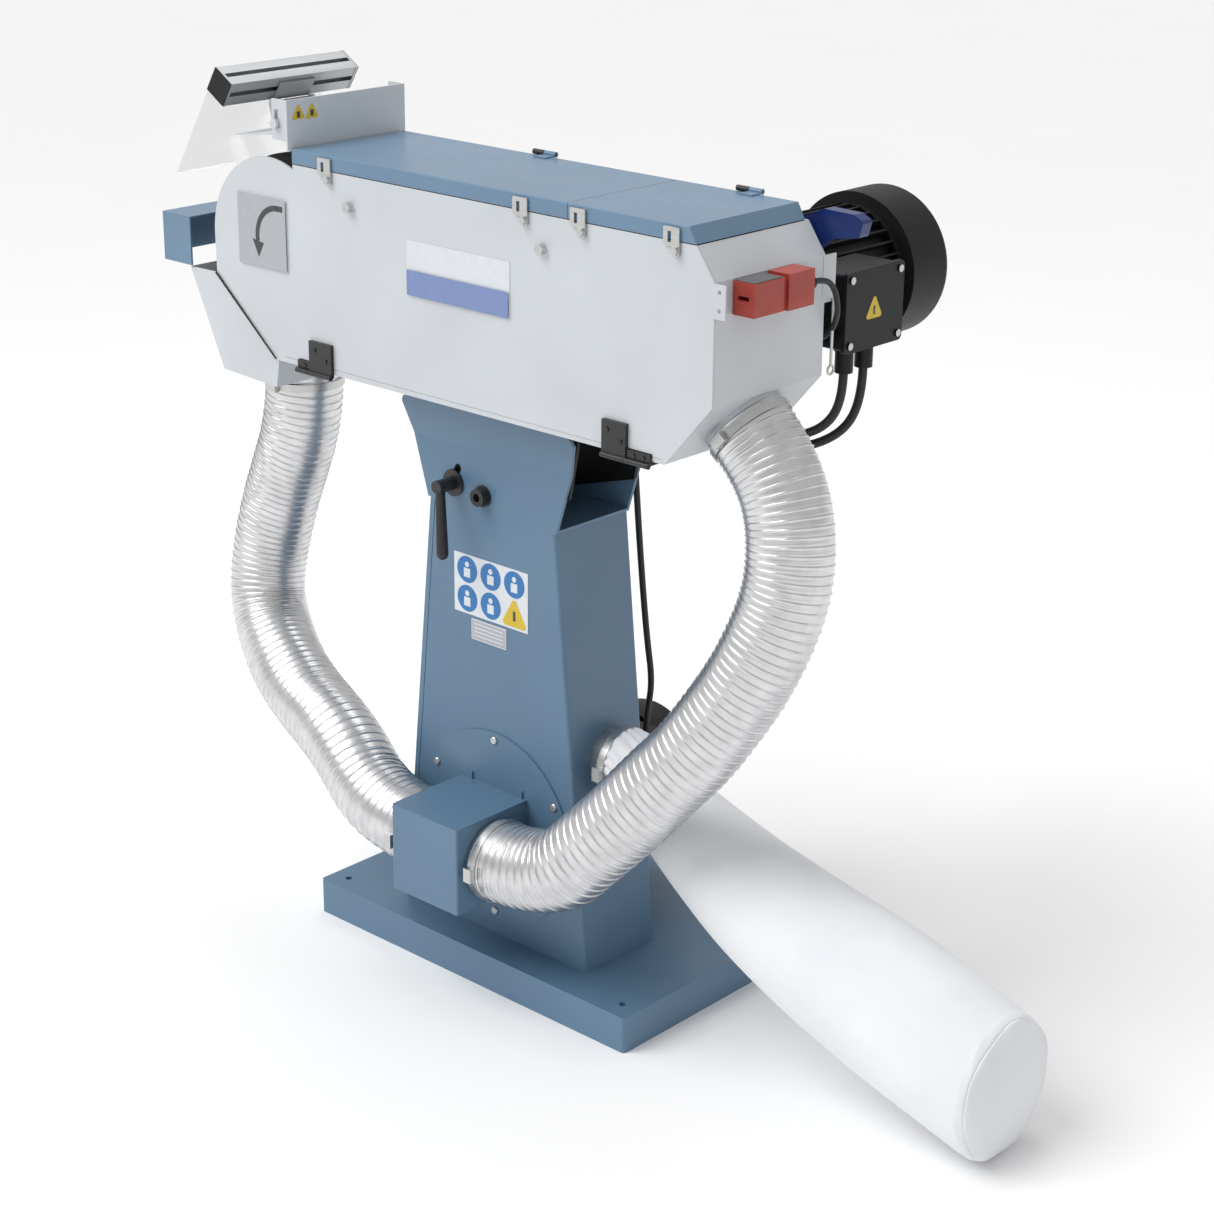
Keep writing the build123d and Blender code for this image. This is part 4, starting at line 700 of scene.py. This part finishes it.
FRONT = ((1, 0, 0), (0, 0, 1))
SIGN_STEP = 0.048
SIGN_TOP_Z = 0.634
SIGN_LOW_Z = 0.589
SIGN_R = 0.0205
sign_spots = [(-SIGN_STEP, SIGN_TOP_Z), (0.0, SIGN_TOP_Z), (SIGN_STEP, SIGN_TOP_Z),
              (-SIGN_STEP, SIGN_LOW_Z), (0.0, SIGN_LOW_Z)]
column_face = (0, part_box("column_plates")[0][1], 0)
column_ink = (0, column_face[1] - PRINT_T, 0)
sign_discs = [circle_shape(x, z, SIGN_R) for x, z in sign_spots]
flat_print("sign_discs", sign_discs, column_face, *FRONT, sign_blue, "root")
sign_triangle = triangle_shape(SIGN_STEP, 0.584, 0.026)
flat_print("sign_triangle", [sign_triangle], column_face, *FRONT, sign_yellow, "root")
marks = []
for x, z in sign_spots:
    marks.append(circle_shape(x, z + 0.008, 0.0042))
    marks.append(box_shape(x - 0.0065, x + 0.0065, z - 0.012, z + 0.002))
flat_print("sign_marks", marks, column_ink, *FRONT, plate_white, "root")
triangle_bar = box_shape(0.0455, 0.0505, 0.578, 0.593)
flat_print("sign_triangle_mark", [triangle_bar], column_ink, *FRONT, sign_black, "root")
rating_face = box_shape(-0.0385, 0.0295, 0.5295, 0.5585)
flat_print("rating_face", [rating_face], column_face, *FRONT, plate_silver, "root")
rating_lines = [box_shape(-0.034, 0.025, z, z + 0.0016) for z in (0.5345, 0.5405, 0.5465, 0.5525)]
flat_print("rating_lines", rating_lines, column_ink, *FRONT, plate_white, "root")

COVER_PLATE_T = 0.001
cover_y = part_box("front_cover")[0][1]
cover_face = (0, cover_y, 0)
name_face = (0, cover_y - COVER_PLATE_T, 0)
name_ink = (0, name_face[1] - PRINT_T, 0)
name_band = box_shape(-0.112, 0.087, 1.042, 1.078)
flat_print("name_band", [name_band], name_face, *FRONT, band_blue, "front_cover")
arrow_face = box_shape(-0.4755, -0.3685, 1.0315, 1.1375)
flat_print("arrow_face", [arrow_face], name_face, *FRONT, plate_silver, "front_cover")
ARROW_CENTRE = (-0.386, 1.078)
ARROW_R = 0.046
ARROW_HALF = 0.0042
sweep = np.radians(np.linspace(90, 190, 30))
outer = np.stack([ARROW_CENTRE[0] + (ARROW_R + ARROW_HALF) * np.cos(sweep),
                  ARROW_CENTRE[1] + (ARROW_R + ARROW_HALF) * np.sin(sweep)], 1)
inner = np.stack([ARROW_CENTRE[0] + (ARROW_R - ARROW_HALF) * np.cos(sweep[::-1]),
                  ARROW_CENTRE[1] + (ARROW_R - ARROW_HALF) * np.sin(sweep[::-1])], 1)
tip_x = ARROW_CENTRE[0] + ARROW_R * math.cos(sweep[-1])
tip_z = ARROW_CENTRE[1] + ARROW_R * math.sin(sweep[-1])
arrow_head = [(tip_x - 0.012, tip_z + 0.002), (tip_x + 0.001, tip_z - 0.024), (tip_x + 0.013, tip_z - 0.002)]
bar_z = ARROW_CENTRE[1] + ARROW_R
arrow_bar = box_shape(ARROW_CENTRE[0] - 0.001, ARROW_CENTRE[0] + 0.012,
                      bar_z - ARROW_HALF, bar_z + ARROW_HALF)
arrow_shapes = [np.vstack([outer, inner]), arrow_head, arrow_bar]
flat_print("arrow", arrow_shapes, name_ink, *FRONT, sign_black, "front_cover")

SIDE = ((0, 1, 0), (0, 0, 1))
GUARD_SIGN_R = 0.013
guard_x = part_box("guard_plate")[1][0]
guard_spots = [(-0.201, 1.264), (-0.175, 1.263)]
guard_triangles = [triangle_shape(y, z, GUARD_SIGN_R) for y, z in guard_spots]
flat_print("guard_triangles", guard_triangles, (guard_x, 0, 0), *SIDE, sign_yellow, "guard")
guard_marks = [box_shape(y - 0.003, y + 0.003, 1.2585, 1.2675) for y, z in guard_spots]
flat_print("guard_marks", guard_marks, (guard_x + PRINT_T, 0, 0), *SIDE, sign_black, "guard")

SCREW_RISE = 0.0025
terminal_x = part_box("terminal_box")[1][0]
lid_x = terminal_x - SCREW_RISE
terminal_triangle = triangle_shape(0.133, 1.054, 0.019)
flat_print("terminal_triangle", [terminal_triangle], (lid_x, 0, 0), *SIDE, sign_yellow, "head")
terminal_bar = box_shape(0.131, 0.135, 1.048, 1.060)
flat_print("terminal_mark", [terminal_bar], (lid_x + PRINT_T, 0, 0), *SIDE, sign_black, "head")


# ---------------------------------------------------------------- visor sheet
# The clear polycarbonate sheet over the nose, cut flat and held along one edge in the
# visor's profile.


def clear_sheet():
    """Clear polycarbonate: thin, glossy and faintly blue."""
    material, tree, shader = new_material("clear_polycarbonate", (0.95, 0.97, 0.98), 0.03)
    shader.inputs["Transmission Weight"].default_value = 0.9
    shader.inputs["IOR"].default_value = 1.3
    shader.inputs["Alpha"].default_value = 0.16
    bump(tree, shader, noise(tree, 3), 0.05, 0.001)
    return material


finish(clear_sheet(), "visor_sheet")


# ---------------------------------------------------------------- small trim
# A black foam strip stuck along the cover's slanted lower edge, zinc caps on the cover's bolts
# and the terminal box's screws, black caps in the visor profile's ends, the switch's grey lid,
# and a steel wire rod with a ring.

foam = moulded("black_foam", (0.012, 0.012, 0.012), 0.8)
strip = [(-0.5365, 1.0045), (-0.4025, 0.8935), (-0.4005, 0.8955), (-0.5335, 1.0075)]
flat_print("edge_foam", [strip], cover_face, *FRONT, foam, "front_cover", PRINT_T, "black_rubber")


def hexagon(x, z, r):
    """A bolt head's outline, turned by 12 degrees."""
    angle = np.radians(np.arange(6) * 60 + 12)
    return np.stack([x + r * np.cos(angle), z + r * np.sin(angle)], 1)


BOLT_RISE = 0.0075
BOLT_R = 0.0085
bolt_caps = [hexagon(-0.230, 1.149, BOLT_R), hexagon(0.149, 1.148, BOLT_R)]
flat_print("cover_bolt_caps", bolt_caps, cover_face, *FRONT, bright_steel, "front_cover", BOLT_RISE,
           "bare_steel")

PROFILE_X = -0.490
PROFILE_Z = 1.291
CAP_HALF = 0.0202
CAP_RISE = 0.0015
cap_turn = math.radians(-32)
cap_corners = CAP_HALF * np.array([(-1, -1), (1, -1), (1, 1), (-1, 1)])
cap_shape = np.stack([
    PROFILE_X + cap_corners[:, 0] * math.cos(cap_turn) - cap_corners[:, 1] * math.sin(cap_turn),
    PROFILE_Z + cap_corners[:, 0] * math.sin(cap_turn) + cap_corners[:, 1] * math.cos(cap_turn),
], 1)
profile_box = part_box("visor_frame")
flat_print("profile_cap_front", [cap_shape], (0, profile_box[0][1], 0), *FRONT, black_plastic, "visor",
           CAP_RISE, "black_plastic")
flat_print("profile_cap_back", [cap_shape * (-1, 1)], (0, profile_box[1][1], 0), (-1, 0, 0), (0, 0, 1),
           black_plastic, "visor", CAP_RISE, "black_plastic")

SCREW_HEAD_R = 0.0052
screw_heads = [circle_shape(y, z, SCREW_HEAD_R) for y in (0.080, 0.189) for z in (1.012, 1.103)]
flat_print("terminal_screw_caps", screw_heads, (terminal_x, 0, 0), *SIDE, bright_steel, "head", PRINT_T,
           "bare_steel")

SWITCH_TOP_Z = 1.148
SWITCH_LID_T = 0.0012
switch_grey = moulded("switch_grey", (0.09, 0.09, 0.095), 0.45)
flat_print("switch_lid", [box_shape(0.4495, 0.4815, -0.180, -0.124)], (0, 0, SWITCH_TOP_Z), (1, 0, 0),
           (0, 1, 0), switch_grey, "head", SWITCH_LID_T, "black_plastic")

HOOK_X = 0.4505
HOOK_Y = 0.026
HOOK_RING_R = 0.0062
HOOK_RING_Z = 0.9918
RING_POINTS = 28


def hook_piece(name, route, wire_r):
    """Steel wire on a smooth route."""
    wire = nurbs_route(name, route, wire_r)
    wire.data.materials.append(bright_steel)
    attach(wire, "head")


hook_piece("hook_rod", np.array([(HOOK_X, HOOK_Y, z) for z in (1.090, 1.040, 0.998)]), 0.0021)
ring_turn = np.linspace(0, 2 * math.pi, RING_POINTS)
ring_route = np.stack([
    np.full(RING_POINTS, HOOK_X),
    HOOK_Y + HOOK_RING_R * np.sin(ring_turn),
    HOOK_RING_Z + HOOK_RING_R * np.cos(ring_turn),
], 1)
hook_piece("hook_ring", ring_route, 0.0017)

# The CAD nodes that the ducts, the cables and the bag stand for aren't shown.
finish(cable_sheath, "hose_left", "hose_right", "fan_cable", "motor_cables", "switch_cable", "filter_bag")
